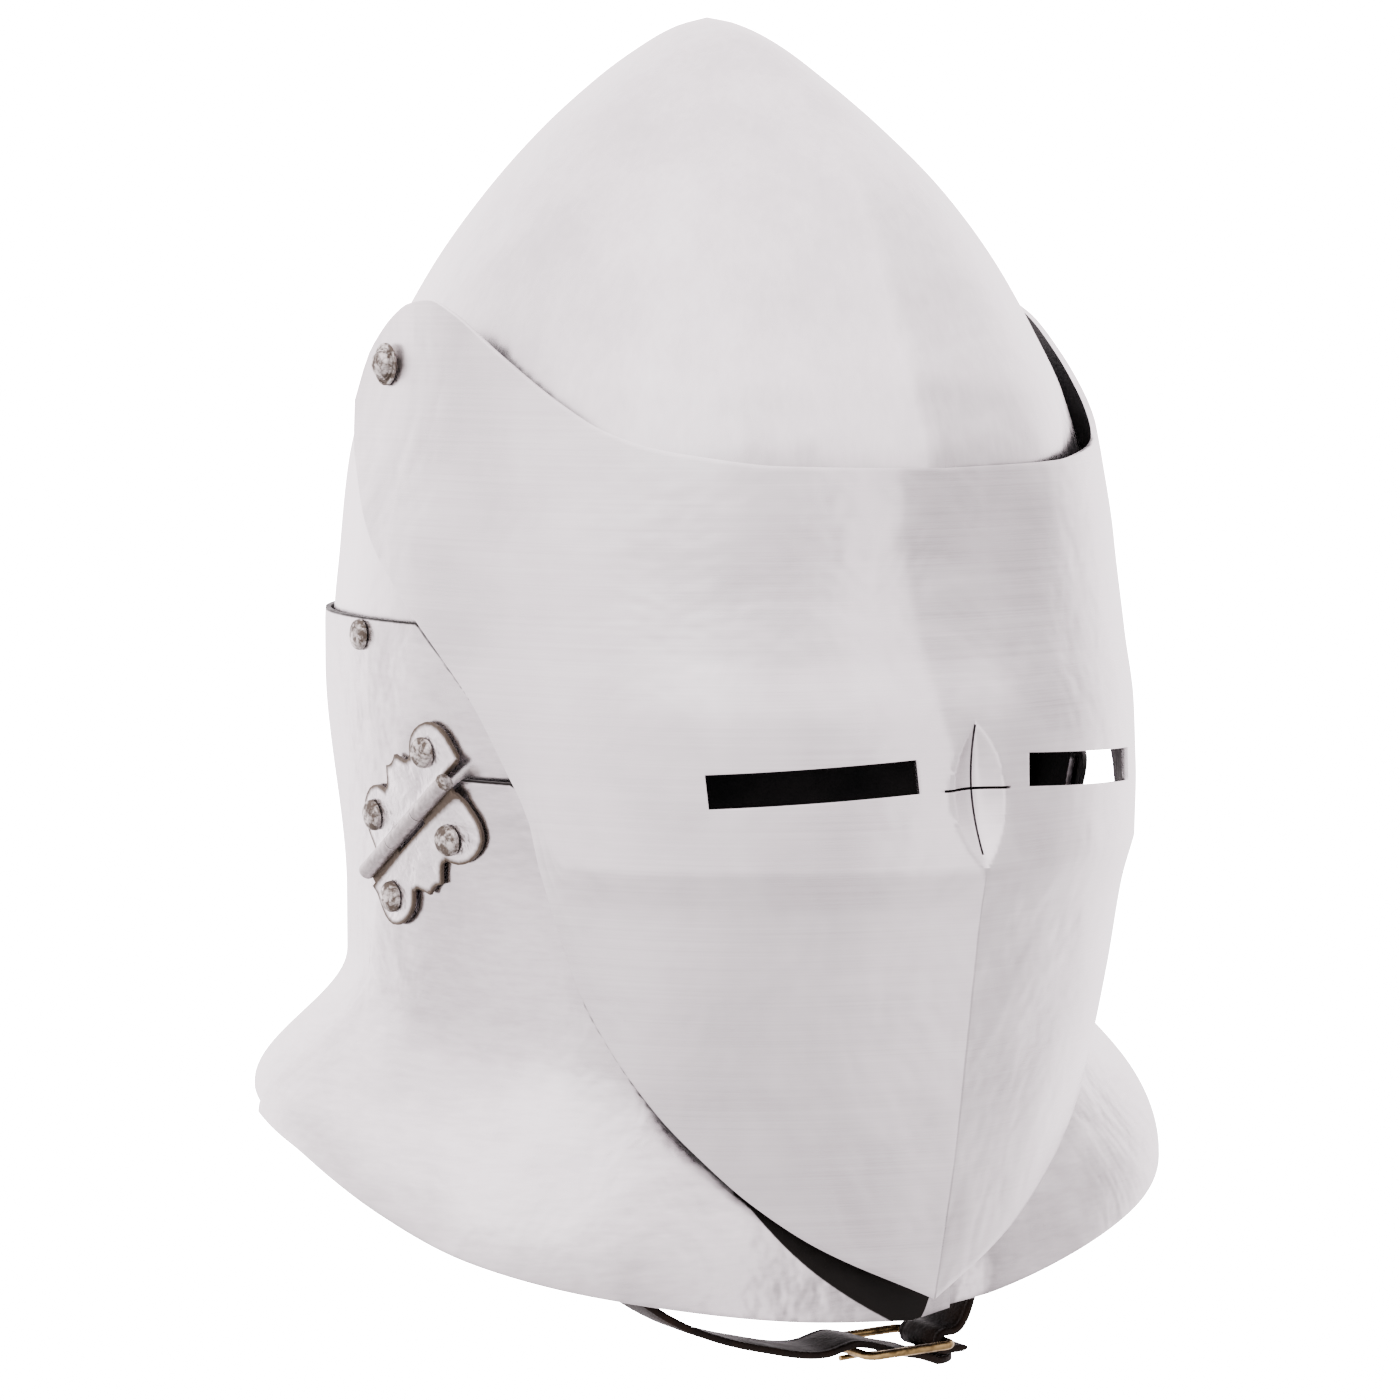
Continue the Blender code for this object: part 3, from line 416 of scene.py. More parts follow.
# height, half width, front and back, each as a share of the skull's own size
skullRows = [
    (0.067, 1.000, 0.980, 1.000), (0.180, 1.000, 0.985, 1.000), (0.292, 0.988, 0.992, 0.964),
    (0.405, 0.964, 1.000, 0.938), (0.494, 0.923, 0.950, 0.875), (0.584, 0.843, 0.866, 0.765),
    (0.674, 0.732, 0.787, 0.692), (0.764, 0.586, 0.682, 0.611), (0.854, 0.418, 0.500, 0.478),
    (0.921, 0.255, 0.350, 0.368), (0.962, 0.145, 0.234, 0.250), (0.991, 0.055, 0.092, 0.110),
    (1.000, 0.000, 0.000, 0.000),
]


def skullRadius(angle, height):
    halfWidth, front, back = readRows(skullRows, height / skull["crownHeight"])
    if halfWidth <= 0.0:
        return 0.0
    keel = skull["keelRise"] * min(1.0, front * skull["keelFade"])
    radius = ovalRadius(angle, skull["halfWidth"] * halfWidth, skull["frontReach"] * front - keel,
                        skull["backReach"] * back, skull["power"])
    if cos(angle) > 0:
        away = abs(sin(angle)) * radius / skull["keelSpread"]
        radius += keel * (1.0 - clamp(away)) ** 2
    return radius


def skullPoint(angle, height):
    return atAngle(angle, skullRadius(angle, height), height)


def makeSkull():
    rows = []
    blend = skull["browBlend"]
    for i in range(skull["rows"] + 1):
        share = (i / skull["rows"]) ** skull["rowPower"]
        row = []
        for j in range(skull["columns"]):
            angle = tau * j / skull["columns"]
            turn = abs((angle + pi) % tau - pi)
            low = mix(skull["browHeight"], skull["edgeHeight"],
                      ease((turn / skull["browAngle"] - blend) / blend))
            row.append(skullPoint(angle, mix(skull["crownHeight"], low, share)))
        rows.append(row)
    return plate("skullPlate", rows, skull["wall"], [skullSteel, insideBlack], closed=True)


finish(makeSkull(), rootBody, "satin_steel", "skull")
print("skull made")


# visor
visor = {
    "halfWidth": 0.1163, "frontReach": 0.1435, "power": 2.3, "tipDepth": 0.146,
    "earHeight": 0.138, "browHeight": 0.0912, "earAngle": radians(103.8), "wall": 0.0018,
    "creaseDepth": 0.0196, "creaseShare": 0.445, "creaseFloor": 0.16, "ridgeRise": 0.009,
    "ridgeSpread": 0.060, "bandHalfWidth": 0.014, "dentHeight": 0.0205, "dentHalfWidth": 0.009,
    "dentDepth": 0.0042, "slitZone": -0.04, "columns": 96, "columnPower": 1.3, "upperRows": 84,
    "lowerRows": 56,
}
slitCuts = {"inner": 0.0192, "outer": 0.0735, "height": 0.0095, "level": 0.0048, "droop": radians(3.5)}
crossCuts = {"width": 0.0008, "upright": 0.0364, "arms": 0.023, "level": 0.0021}
# height from the tip as a share of the whole, then half width, reach, ridge and front band
visorRows = [
    (0.000, 0.750, 0.831, 1.00, 0.00), (0.158, 0.862, 0.900, 1.00, 0.00),
    (0.311, 0.940, 0.950, 0.95, 0.00), (0.394, 0.966, 0.977, 0.90, 0.00),
    (0.445, 0.988, 1.000, 0.70, 0.00), (0.521, 1.000, 0.973, 0.42, 0.45),
    (0.587, 1.000, 0.955, 0.34, 0.70), (0.657, 0.998, 0.908, 0.28, 0.90),
    (0.753, 0.985, 0.863, 0.20, 1.00), (0.834, 0.946, 0.848, 0.16, 1.00),
    (0.933, 0.905, 0.810, 0.16, 1.00), (1.000, 0.895, 0.780, 0.16, 1.00),
]
# share of the way round to the ear's end, then height of the edge as a share of its range
visorTopEdge = [
    (0.000, 0.000), (0.229, 0.025), (0.325, 0.079), (0.388, 0.130), (0.457, 0.233), (0.519, 0.378),
    (0.629, 0.660), (0.743, 0.929), (0.800, 1.000), (0.857, 0.981), (0.902, 0.908), (0.946, 0.782),
    (0.981, 0.620), (1.000, 0.374),
]
visorLowEdge = [
    (0.000, 0.000), (0.165, 0.065), (0.259, 0.119), (0.325, 0.169), (0.390, 0.227), (0.480, 0.348),
    (0.522, 0.459), (0.545, 0.547), (0.584, 0.605), (0.636, 0.669), (0.694, 0.716), (0.787, 0.779),
    (0.875, 0.838), (0.967, 0.932), (0.987, 0.966), (1.000, 1.000),
]


def visorPoint(angle, height):
    span = visor["earHeight"] + visor["tipDepth"]
    share = (height + visor["tipDepth"]) / span
    # the rows above and below the crease are read apart, so that it stays crisp
    crease = visor["creaseShare"]
    near = [row for row in visorRows if (row[0] >= crease if share > crease else row[0] <= crease)]
    halfWidth, reach, ridge, band = readRows(near, share)
    rise = visor["ridgeRise"] * ridge
    reach = visor["frontReach"] * reach - rise
    halfWidth *= visor["halfWidth"]
    if cos(angle) <= 0:
        back = -cos(angle) / abs(sin(angle)) * halfWidth
        return Vector((halfWidth if angle > 0 else -halfWidth, back, height))
    point = atAngle(angle, ovalRadius(angle, halfWidth, reach, reach, visor["power"]), height)
    away = (abs(point.x) - visor["bandHalfWidth"] * band) / visor["ridgeSpread"]
    point.y -= rise * (1.0 - clamp(away)) ** 2
    level = height / visor["dentHeight"]
    if abs(level) < 1.0:
        width = visor["dentHalfWidth"] * (1.0 - level * level)
        fall = max(0.0, 1.0 - (point.x / width) ** 2) * (1.0 - level * level)
        point.y += visor["dentDepth"] * fall
    return point


def visorTop(angle):
    return mix(visor["browHeight"], visor["earHeight"],
               readRows(visorTopEdge, abs(angle) / visor["earAngle"])[0])


def visorLow(angle):
    return mix(-visor["tipDepth"], visorTop(visor["earAngle"]),
               readRows(visorLowEdge, abs(angle) / visor["earAngle"])[0])


def windowCut(centre, width, height, tilt):
    # takes a straight sided window out of the front of a shell
    across = Vector((cos(tilt), 0.0, -sin(tilt)))
    upward = Vector((sin(tilt), 0.0, cos(tilt)))
    middle = Vector((centre[0], 0.0, centre[1])) + seatDrop

    def within(shape, reachAcross, reachUp):
        for face in shape.faces:
            spot = face.calc_center_median()
            away = spot - middle
            if (spot.y < visor["slitZone"] and abs(away.dot(across)) < reachAcross
                    and abs(away.dot(upward)) < reachUp):
                yield face

    def cut(shape):
        for way, half in ((across, width / 2), (upward, height / 2)):
            for sign in (-1, 1):
                near = list(within(shape, width + height, width + height))
                edges = list({edge for face in near for edge in face.edges})
                corners = list({corner for face in near for corner in face.verts})
                bmesh.ops.bisect_plane(shape, geom=near + edges + corners, dist=0.000002,
                                       plane_co=middle + way * half * sign, plane_no=way)
        gone = list(within(shape, width / 2, height / 2))
        bmesh.ops.delete(shape, geom=gone, context="FACES")
    return cut


def makeVisor():
    count = visor["columns"]
    angles = [visor["earAngle"] * (i / count) ** visor["columnPower"] for i in range(count + 1)]
    angles = [-angle for angle in reversed(angles[1:])] + angles
    columns = []
    for angle in angles:
        top = visorTop(angle)
        low = visorLow(angle)
        crease = max(-visor["creaseDepth"], mix(low, top, visor["creaseFloor"]))
        heights = [mix(top, crease, i / visor["upperRows"]) for i in range(visor["upperRows"])]
        heights += [mix(crease, low, i / visor["lowerRows"]) for i in range(visor["lowerRows"] + 1)]
        columns.append([visorPoint(angle, height) for height in heights])
    rows = crosswise(columns)
    middle = (slitCuts["inner"] + slitCuts["outer"]) / 2
    cuts = [windowCut((sign * middle, slitCuts["level"]), slitCuts["outer"] - slitCuts["inner"],
                      slitCuts["height"], sign * slitCuts["droop"]) for sign in (-1, 1)]
    cuts.append(windowCut((0.0, crossCuts["level"]), crossCuts["width"], crossCuts["upright"], 0.0))
    cuts.append(windowCut((0.0, crossCuts["level"]), crossCuts["arms"], crossCuts["width"], 0.0))
    return plate("visorPlate", rows, visor["wall"], [visorSteel, insideBlack], cuts=cuts)


finish(makeVisor(), "visor", "satin_steel", "visor")
print("visor made")


# collar
collar = {
    "wall": 0.0016, "lapGap": 0.0011, "topHeight": 0.0458, "neckHeight": -0.040,
    "neckHalfWidth": 0.1072, "neckFront": 0.096, "neckBack": 0.1005, "neckPower": 2.3,
    "rimHalfWidth": 0.138, "rimFront": 0.105, "rimBack": 0.122, "rimFrontPower": 2.6,
    "rimBackPower": 2.2, "flareStart": 0.30, "flareSpan": 0.68, "flareSwell": 1.1,
    "rimDrop": 0.1545, "rimLean": 0.0035, "plateTuck": 0.0006, "plateTuckDrop": 0.020,
    "plateTuckClimb": 0.12, "frontAngle": radians(60), "halfEdge": 0.0025, "chinEdge": -0.012,
    "riseAngle": radians(40), "riseSpan": radians(22), "seamHigh": radians(94.6), "seamLow": radians(103.3),
    "chinLap": radians(7.5), "chinTuck": radians(2), "joggle": radians(9),
    "plateLap": radians(5.5), "columns": 84, "rearColumns": 70, "frontColumns": 40, "rows": 90,
    # the three shadow keys shape the painted black shadow under the visor's tip; edgeLine is a thin dark
    # line along the top edge
    "shadowWidth": 0.0105, "shadowEnd": radians(31), "shadowStart": radians(-5), "edgeLine": 0.0013,
    # the next four keys set the painted grey contact shade along the visor's lower edge: its width, its end,
    # its strength, and how far both painted shades run up under the visor
    "contactShadeWidth": (0.0012, 0.0042), "contactShadeEnd": radians(62), "contactShadeDepth": 0.00015, "paintedShadeHidden": 0.0045,
}
# degrees round from the front, drop as a share of the rim's drop at the front
rimRows = [
    (0, 1.000), (20, 0.967), (46, 0.891), (62, 0.825), (74, 0.755), (84, 0.702), (93, 0.664),
    (116, 0.612), (140, 0.630), (180, 0.700),
]
# share of the way forward from the seam, share of the climb to the chin edge
plateFrontEdge = [
    (0.000, 0.00), (0.020, 0.12), (0.048, 0.26), (0.087, 0.39), (0.140, 0.50), (0.220, 0.59),
    (0.365, 0.68), (0.630, 0.86), (1.000, 1.00),
]
hinge = {
    "frontY": -0.0365, "frontHeight": 0.0012, "backY": 0.0065, "backHeight": -0.0285,
    "knuckleRadius": 0.0025, "pinRadius": 0.0011, "headRadius": 0.0027, "headRise": 0.0016,
    "headBrim": 0.16, "headNeck": 0.94, "middleKnuckle": 0.0165, "leafWall": 0.0012, "touchGap": 0.0003,
    "foldPlace": 0.0070, "rootShare": 0.4, "grid": 0.0012, "patinaAndShade": 0.0022, "leafEdge": 0.00022,
    "barrelEdge": 0.0002, "steps": 40,
}


def rimHeight(angle):
    turn = abs((angle + pi) % tau - pi)
    return -collar["rimDrop"] * readRows(rimRows, turn * 180.0 / pi)[0] + collar["rimLean"] * sin(angle)


def collarRadius(angle, height):
    neck = ovalRadius(angle, collar["neckHalfWidth"], collar["neckFront"], collar["neckBack"],
                      collar["neckPower"])
    neckHeight = collar["neckHeight"]
    if height >= neckHeight:
        lapFoot = skull["edgeHeight"] - collar["lapGap"]
        overSkull = skullRadius(angle, max(height, lapFoot)) + collar["lapGap"] + collar["wall"]
        return mix(overSkull, neck, ease((lapFoot - height) / (lapFoot - neckHeight)))
    power = collar["rimFrontPower"] if cos(angle) > 0 else collar["rimBackPower"]
    rim = ovalRadius(angle, collar["rimHalfWidth"], collar["rimFront"], collar["rimBack"], power)
    share = (neckHeight - height) / (neckHeight - rimHeight(angle))
    flare = ease((share - collar["flareStart"]) / collar["flareSpan"]) ** collar["flareSwell"]
    return mix(neck, rim, flare)


def collarPoint(angle, height):
    return atAngle(angle, collarRadius(angle, height), height)


def halfPoint(angle, height):
    here, out = squareTo(collarPoint, angle, height)
    return here + out * (collar["wall"] + collar["lapGap"])


def tuckedHalfPoint(angle, height):
    # the left half passes under the right one at the chin
    here, out = squareTo(collarPoint, angle, height)
    lift = ease((angle - collar["chinLap"]) / collar["joggle"])
    return here + out * (collar["wall"] + collar["lapGap"]) * lift


def sideAngle(back, height, pointAt):
    # angle at which a face lies a given distance behind the crown axis
    low = radians(45)
    high = radians(135)
    for _ in range(40):
        angle = (low + high) / 2
        if pointAt(angle, height).y < back:
            low = angle
        else:
            high = angle
    return angle


def sideReach(back, height, pointAt):
    return pointAt(sideAngle(back, height, pointAt), height).x


def paintedShade(turn, height, top, sign):
    # millimetres inside the painted black crescent of shadow under the visor's tip, the painted grey
    # contact shade along the visor's lower edge and the thin dark line along the top edge
    step = 0.01
    slope = (visorLow(turn + step) - visorLow(turn - step)) / (2 * step * visor["halfWidth"])
    below = (visorLow(turn) - height) / (1.0 + slope * slope) ** 0.5
    line = collar["edgeLine"] / 2 - (top - height)
    contactShade = mix(*collar["contactShadeWidth"], ease(turn / collar["contactShadeEnd"])) - below
    end = collar["shadowEnd"] if turn > 0 else collar["shadowStart"]
    crescent = collar["shadowWidth"] * (1.0 - (turn / end) ** 2) - below if sign < 0 else line
    hidden = below + collar["paintedShadeHidden"]
    return max(line, min(crescent, hidden), min(contactShade, hidden, collar["contactShadeDepth"])) * 1000.0


def makeCollarHalf(name, sign, start, pointAt):
    hingeFront = sideAngle(hinge["frontY"], hinge["frontHeight"], halfPoint)
    hingeBack = sideAngle(hinge["backY"], hinge["backHeight"], halfPoint)
    columns = []
    wear = []
    for i in range(collar["columns"] + 1):
        turn = mix(start, collar["seamHigh"], i / collar["columns"])
        if turn <= hingeFront:
            rise = ease((turn - collar["riseAngle"]) / collar["riseSpan"])
            top = mix(collar["chinEdge"], collar["halfEdge"], rise)
        else:
            top = mix(hinge["frontHeight"], hinge["backHeight"],
                      clamp((turn - hingeFront) / (hingeBack - hingeFront)))
        foot = turn * collar["seamLow"] / collar["seamHigh"] if turn > 0 else turn
        column = []
        shadeAndPatina = []
        for j in range(collar["rows"] + 1):
            share = j / collar["rows"]
            angle = mix(turn, foot, share)
            height = mix(top, rimHeight(sign * foot), share)
            column.append(pointAt(sign * angle, height))
            # painted shadow and shade under the visor's edge, with the thin dark top edge line
            shadeAndPatina.append(paintedShade(angle, height, top, sign))
        columns.append(column)
        wear.append(shadeAndPatina)
    if sign < 0:
        columns.reverse()
        wear.reverse()
    return plate(name, crosswise(columns), collar["wall"], [collarSteel, insideBlack],
                 wear=crosswise(wear))


def makeBackCollar():
    footEnd = collar["seamLow"] - collar["plateLap"]
    rearCount, frontCount = collar["rearColumns"], collar["frontColumns"]
    columns = []
    for i in range(rearCount):
        share = i / rearCount
        columns.append((mix(pi, collar["seamHigh"], share), mix(pi, footEnd, share), 0.0))
    edgeRows = [(i / (len(plateFrontEdge) - 1), *row) for i, row in enumerate(plateFrontEdge)]
    for i in range(frontCount + 1):
        share = i / frontCount
        forward, climb = readRows(edgeRows, share)
        columns.append((mix(collar["seamHigh"], collar["frontAngle"], share),
                        mix(footEnd, collar["frontAngle"], forward), climb))
    halves = []
    wear = []
    for sign in (1, -1):
        side = []
        for topAngle, footAngle, climb in columns:
            foot = mix(rimHeight(sign * footAngle), collar["chinEdge"], climb)
            column = []
            shadeAndPatina = []
            for j in range(collar["rows"] + 1):
                angle = sign * mix(topAngle, footAngle, j / collar["rows"])
                height = mix(collar["topHeight"], foot, j / collar["rows"])
                tuck = ease((collar["neckHeight"] - height) / collar["plateTuckDrop"])
                tuck *= collar["plateTuck"] * min(1.0, climb / collar["plateTuckClimb"])
                column.append(atAngle(angle, collarRadius(angle, height) - tuck, height))
                # painted shadow and shade under the visor's edge, with the thin dark top edge line
                shadeAndPatina.append(paintedShade(abs(angle), height, collar["topHeight"], 1))
            side.append(column)
            if sign > 0:
                wear.append(shadeAndPatina)
        halves.append(side)
    rows = crosswise(halves[0][::-1] + halves[1][1:])
    return plate("backCollarPlate", rows, collar["wall"], [collarSteel, insideBlack],
                 wear=crosswise(wear[::-1] + wear[1:]))


finish(makeBackCollar(), rootBody, "satin_steel", "back_collar")
finish(makeCollarHalf("collarPlateRight", -1, -collar["chinLap"], halfPoint),
       "collar_half_right", "satin_steel", "collar_right")
finish(makeCollarHalf("collarPlateLeft", 1, -collar["chinTuck"], tuckedHalfPoint),
       "collar_half_left", "satin_steel", "collar_left")
print("collar made")


# hinges
# along the barrel: middle, half length, depth, middle and reach of the rivets, then rivets across
leafRows = {
    "upper": (0.0030, 0.0277, 0.0215, 0.0011, 0.0184, 0.0142),
    "lower": (-0.0007, 0.0274, 0.0204, -0.0032, 0.0171, 0.0113),
}
# half of a leaf from its middle out: shares of the half length and the depth
leafOutline = [
    (0.00, 0.94), (0.055, 0.95), (0.115, 0.985), (0.125, 0.965), (0.19, 0.86), (0.255, 0.77),
    (0.275, 0.765), (0.325, 0.775), (0.335, 0.75), (0.35, 0.775), (0.40, 0.86), (0.46, 0.93),
    (0.53, 0.975), (0.62, 0.998), (0.72, 0.99), (0.82, 0.955), (0.90, 0.885), (0.955, 0.79),
    (0.985, 0.69), (1.00, 0.57), (1.00, 0.25),
]


def hingeAxis(sign):
    front = Vector((0.0, hinge["frontY"], hinge["frontHeight"]))
    back = Vector((0.0, hinge["backY"], hinge["backHeight"]))
    front.x = sideReach(front.y, front.z, halfPoint)
    back.x = sideReach(back.y, back.z, halfPoint)
    bow = 0.0
    for i in range(1, 12):
        point = front.lerp(back, i / 12)
        bow = max(bow, sideReach(point.y, point.z, halfPoint) - point.x)
    for end in (front, back):
        end.x = sign * (end.x + bow + hinge["knuckleRadius"] + hinge["touchGap"])
    return front, back


def hingeFrame(sign):
    front, back = hingeAxis(sign)
    run = Vector((0.0, front.y - back.y, front.z - back.z)).normalized()
    rise = Vector((0.0, -run.z, run.y))
    return front, back, (front + back) / 2, run, rise if rise.z > 0 else -rise


def spunRing(points, faces, rings, steps, frame):
    # adds a round solid given by rings of radius and height
    start = len(points)
    for radius, height in rings:
        for i in range(steps):
            turn = tau * i / steps
            points.append(frame @ Vector((radius * cos(turn), radius * sin(turn), height)))
    for row in range(len(rings) - 1):
        for i in range(steps):
            j = (i + 1) % steps
            low = start + row * steps
            faces.append((low + i, low + j, low + steps + j, low + steps + i))
    faces.append(tuple(start + i for i in reversed(range(steps))))
    faces.append(tuple(start + (len(rings) - 1) * steps + i for i in range(steps)))


def alongWay(direction, origin):
    turn = Vector((0, 0, 1)).rotation_difference(direction.normalized())
    return Matrix.Translation(origin) @ turn.to_matrix().to_4x4()


def makeLeaf(name, sign, across, rows, pointAt, knuckles):
    # across is 1 for the leaf above the barrel and -1 for the one below it
    front, back, middle, run, rise = hingeFrame(sign)
    place, halfLength, depth = rows[:3]
    barrel = hinge["knuckleRadius"]
    clear = barrel + 3 * hinge["touchGap"]
    root = barrel * hinge["rootShare"]
    outline = [(share * halfLength, depth * level) for share, level in leafOutline]
    outline = [(-x, y) for x, y in reversed(outline[1:])] + outline
    outline = [(x + place, y) for x, y in outline]
    border = list(outline)
    inner = [(place + halfLength, clear)]
    for start, end in sorted(knuckles, reverse=True):
        inner += [(end, clear), (end, root), (start, root), (start, clear)]
    outline += inner + [(place - halfLength, clear)]
    shape = bmesh.new()
    shape.faces.new([shape.verts.new((x, y, 0.0)) for x, y in outline])
    for axis, reach, start in ((0, 2 * halfLength, place - halfLength), (1, depth, 0.0)):
        way = Vector((1, 0, 0)) if axis == 0 else Vector((0, 1, 0))
        for i in range(1, int(reach / hinge["grid"])):
            everything = shape.verts[:] + shape.edges[:] + shape.faces[:]
            bmesh.ops.bisect_plane(shape, geom=everything, dist=0.00001, plane_no=way,
                                   plane_co=way * (start + i * hinge["grid"]))
    slope = (front.x - back.x) / (front - back).length
    near = [Vector((x, y, 0.0)) for x, y in border]
    wear = shape.verts.layers.float.new("wear")
    for corner in shape.verts:
        away = min(distanceTo(corner.co, a, b) for a, b in zip(near, near[1:]))
        # dark tarnish with painted shade: a band along the leaf's border and along the fold beside the
        # barrel, in millimetres inside the band
        corner[wear] = (hinge["patinaAndShade"] / 2 - min(away, corner.co.y - clear)) * 1000.0
        spot = middle + run * corner.co.x + rise * across * corner.co.y
        seat = sideReach(spot.y, spot.z, pointAt) + hinge["touchGap"] + collar["lapGap"] / 2
        top = abs(middle.x) + sign * slope * corner.co.x - barrel
        lift = 1.0 - ease((corner.co.y - root) / (hinge["foldPlace"] - root))
        spot.x = sign * mix(seat, max(seat, top), lift)
        corner.co = spot + seatDrop
    shape.normal_update()
    for face in shape.faces:
        if face.normal.x * sign < 0:
            face.normal_flip()
    piece = meshFrom(name, [], [], [leafSteel])
    shape.to_mesh(piece.data)
    shape.free()
    addWall(piece, hinge["leafWall"], hinge["leafEdge"], 1.0)
    points, faces = [], []
    axis = (front - back).normalized()
    edge = hinge["barrelEdge"]
    for start, end in knuckles:
        rings = [(barrel - edge, start), (barrel, start + edge), (barrel, end - edge), (barrel - edge, end)]
        spunRing(points, faces, rings, hinge["steps"], alongWay(axis, middle))
    return joinTo(piece, points, faces)


def distanceTo(point, start, end):
    way = end - start
    share = clamp((point - start).dot(way) / max(way.length_squared, 1e-12))
    return (start + way * share - point).length


def joinTo(piece, points, faces):
    # adds loose solids, in the heights of the drawing, to a finished piece
    def add(shape):
        made = [shape.verts.new(point + seatDrop) for point in points]
        for face in faces:
            shape.faces.new([made[i] for i in face])
    reshape(piece, add)
    piece.data.shade_smooth()
    piece.data.set_sharp_from_angle(angle=radians(35))
    return piece


def makeHinge(side, sign):
    front, back = hingeAxis(sign)
    axis = (front - back).normalized()
    halfLength = (front - back).length / 2
    inner = hinge["middleKnuckle"] / 2
    gap = hinge["touchGap"]
    finish(makeLeaf("hingeUpperLeaf_" + side, sign, 1, leafRows["upper"], collarPoint,
                    [(-inner, inner)]),
           rootBody, "satin_steel", "hinge_upper_leaf_" + side)
    finish(makeLeaf("hingeLowerLeaf_" + side, sign, -1, leafRows["lower"], halfPoint,
                    [(-halfLength, -inner - gap), (inner + gap, halfLength)]),
           "collar_half_" + side, "satin_steel", "hinge_lower_leaf_" + side)
    pin = meshFrom("hingePin_" + side, [], [], [rivetMetal])
    points, faces = [], []
    top = 2 * halfLength + gap
    head, swell, brim = hinge["headRadius"], hinge["headRise"], hinge["headBrim"]
    rings = [(hinge["pinRadius"], 0.0), (hinge["pinRadius"], top),
             (head * hinge["headNeck"], top), (head, top + swell * brim)]
    rings += [(head * cos(turn), top + swell * mix(brim, 1.0, sin(turn)))
              for turn in (pi / 16 * i for i in range(1, 8))]
    spunRing(points, faces, rings, hinge["steps"], alongWay(axis, back))
    finish(joinTo(pin, points, faces), rootBody, "aged_rivet", "hinge_pin_" + side)


for side, sign in sides.items():
    makeHinge(side, sign)
print("hinges made")


# rivets
rivet = {
    "radius": 0.0046, "rise": 0.0028, "drop": 0.0052, "segments": 44, "rings": 30, "flatness": 0.72,
    "pitDepth": 0.00016, "pitLevel": 0.62, "pitScale": 520.0, "footShare": 0.02, "strapRadius": 0.0036,
    "strapDrop": 0.008, "seed": 7,
}
collarRivets = {"right": radians(-96.5), "left": radians(96.5), "back": radians(180),
                "back_right": radians(-140), "back_left": radians(140)}


def rivetSpots():
    # body, node, place, way out and scale of every rivet
    spots = []
    for label, angle in collarRivets.items():
        here, out = squareTo(collarPoint, angle, collar["topHeight"] - rivet["drop"])
        spots.append((rootBody, "collar_rivet_" + label, here + out * hinge["touchGap"], out, 1.0))
    proud = hinge["leafWall"] + hinge["touchGap"] * 2 + collar["lapGap"] / 2
    for side, sign in sides.items():
        middle, run, rise = hingeFrame(sign)[2:]
        for across, pointAt, label in ((1, collarPoint, "upper"), (-1, halfPoint, "lower")):
            for forward, end in ((1, "front"), (-1, "back")):
                along, reach, up = leafRows[label][3:]
                spot = middle + run * (along + forward * reach) + rise * across * up
                here, out = squareTo(pointAt, sign * sideAngle(spot.y, spot.z, pointAt), spot.z)
                body = rootBody if across > 0 else "collar_half_" + side
                spots.append((body, f"leaf_rivet_{label}_{end}_{side}", here + out * proud, out, 1.0))
        root = strapRoom() - strap["wall"] / 2 - hinge["touchGap"]
        spots.append((rootBody, "strap_rivet_" + side,
                      Vector((sign * root, strap["rootY"], strap["rootHeight"] - rivet["strapDrop"])),
                      Vector((-sign, 0.0, 0.0)), rivet["strapRadius"] / rivet["radius"]))
    return spots


def startGroup(name, inputs, result):
    # a node group with named inputs, and the way to read each of them
    group = bpy.data.node_groups.new(name, "GeometryNodeTree")
    for label, kind in inputs:
        group.interface.new_socket(label, in_out="INPUT", socket_type="NodeSocket" + kind)
    group.interface.new_socket(result, in_out="OUTPUT", socket_type="NodeSocketGeometry")
    given = group.nodes.new("NodeGroupInput").outputs
    return group, lambda label: Wire(group, given[label])


def endGroup(group, last):
    group.links.new(last.socket, group.nodes.new("NodeGroupOutput").inputs[0])
    return group


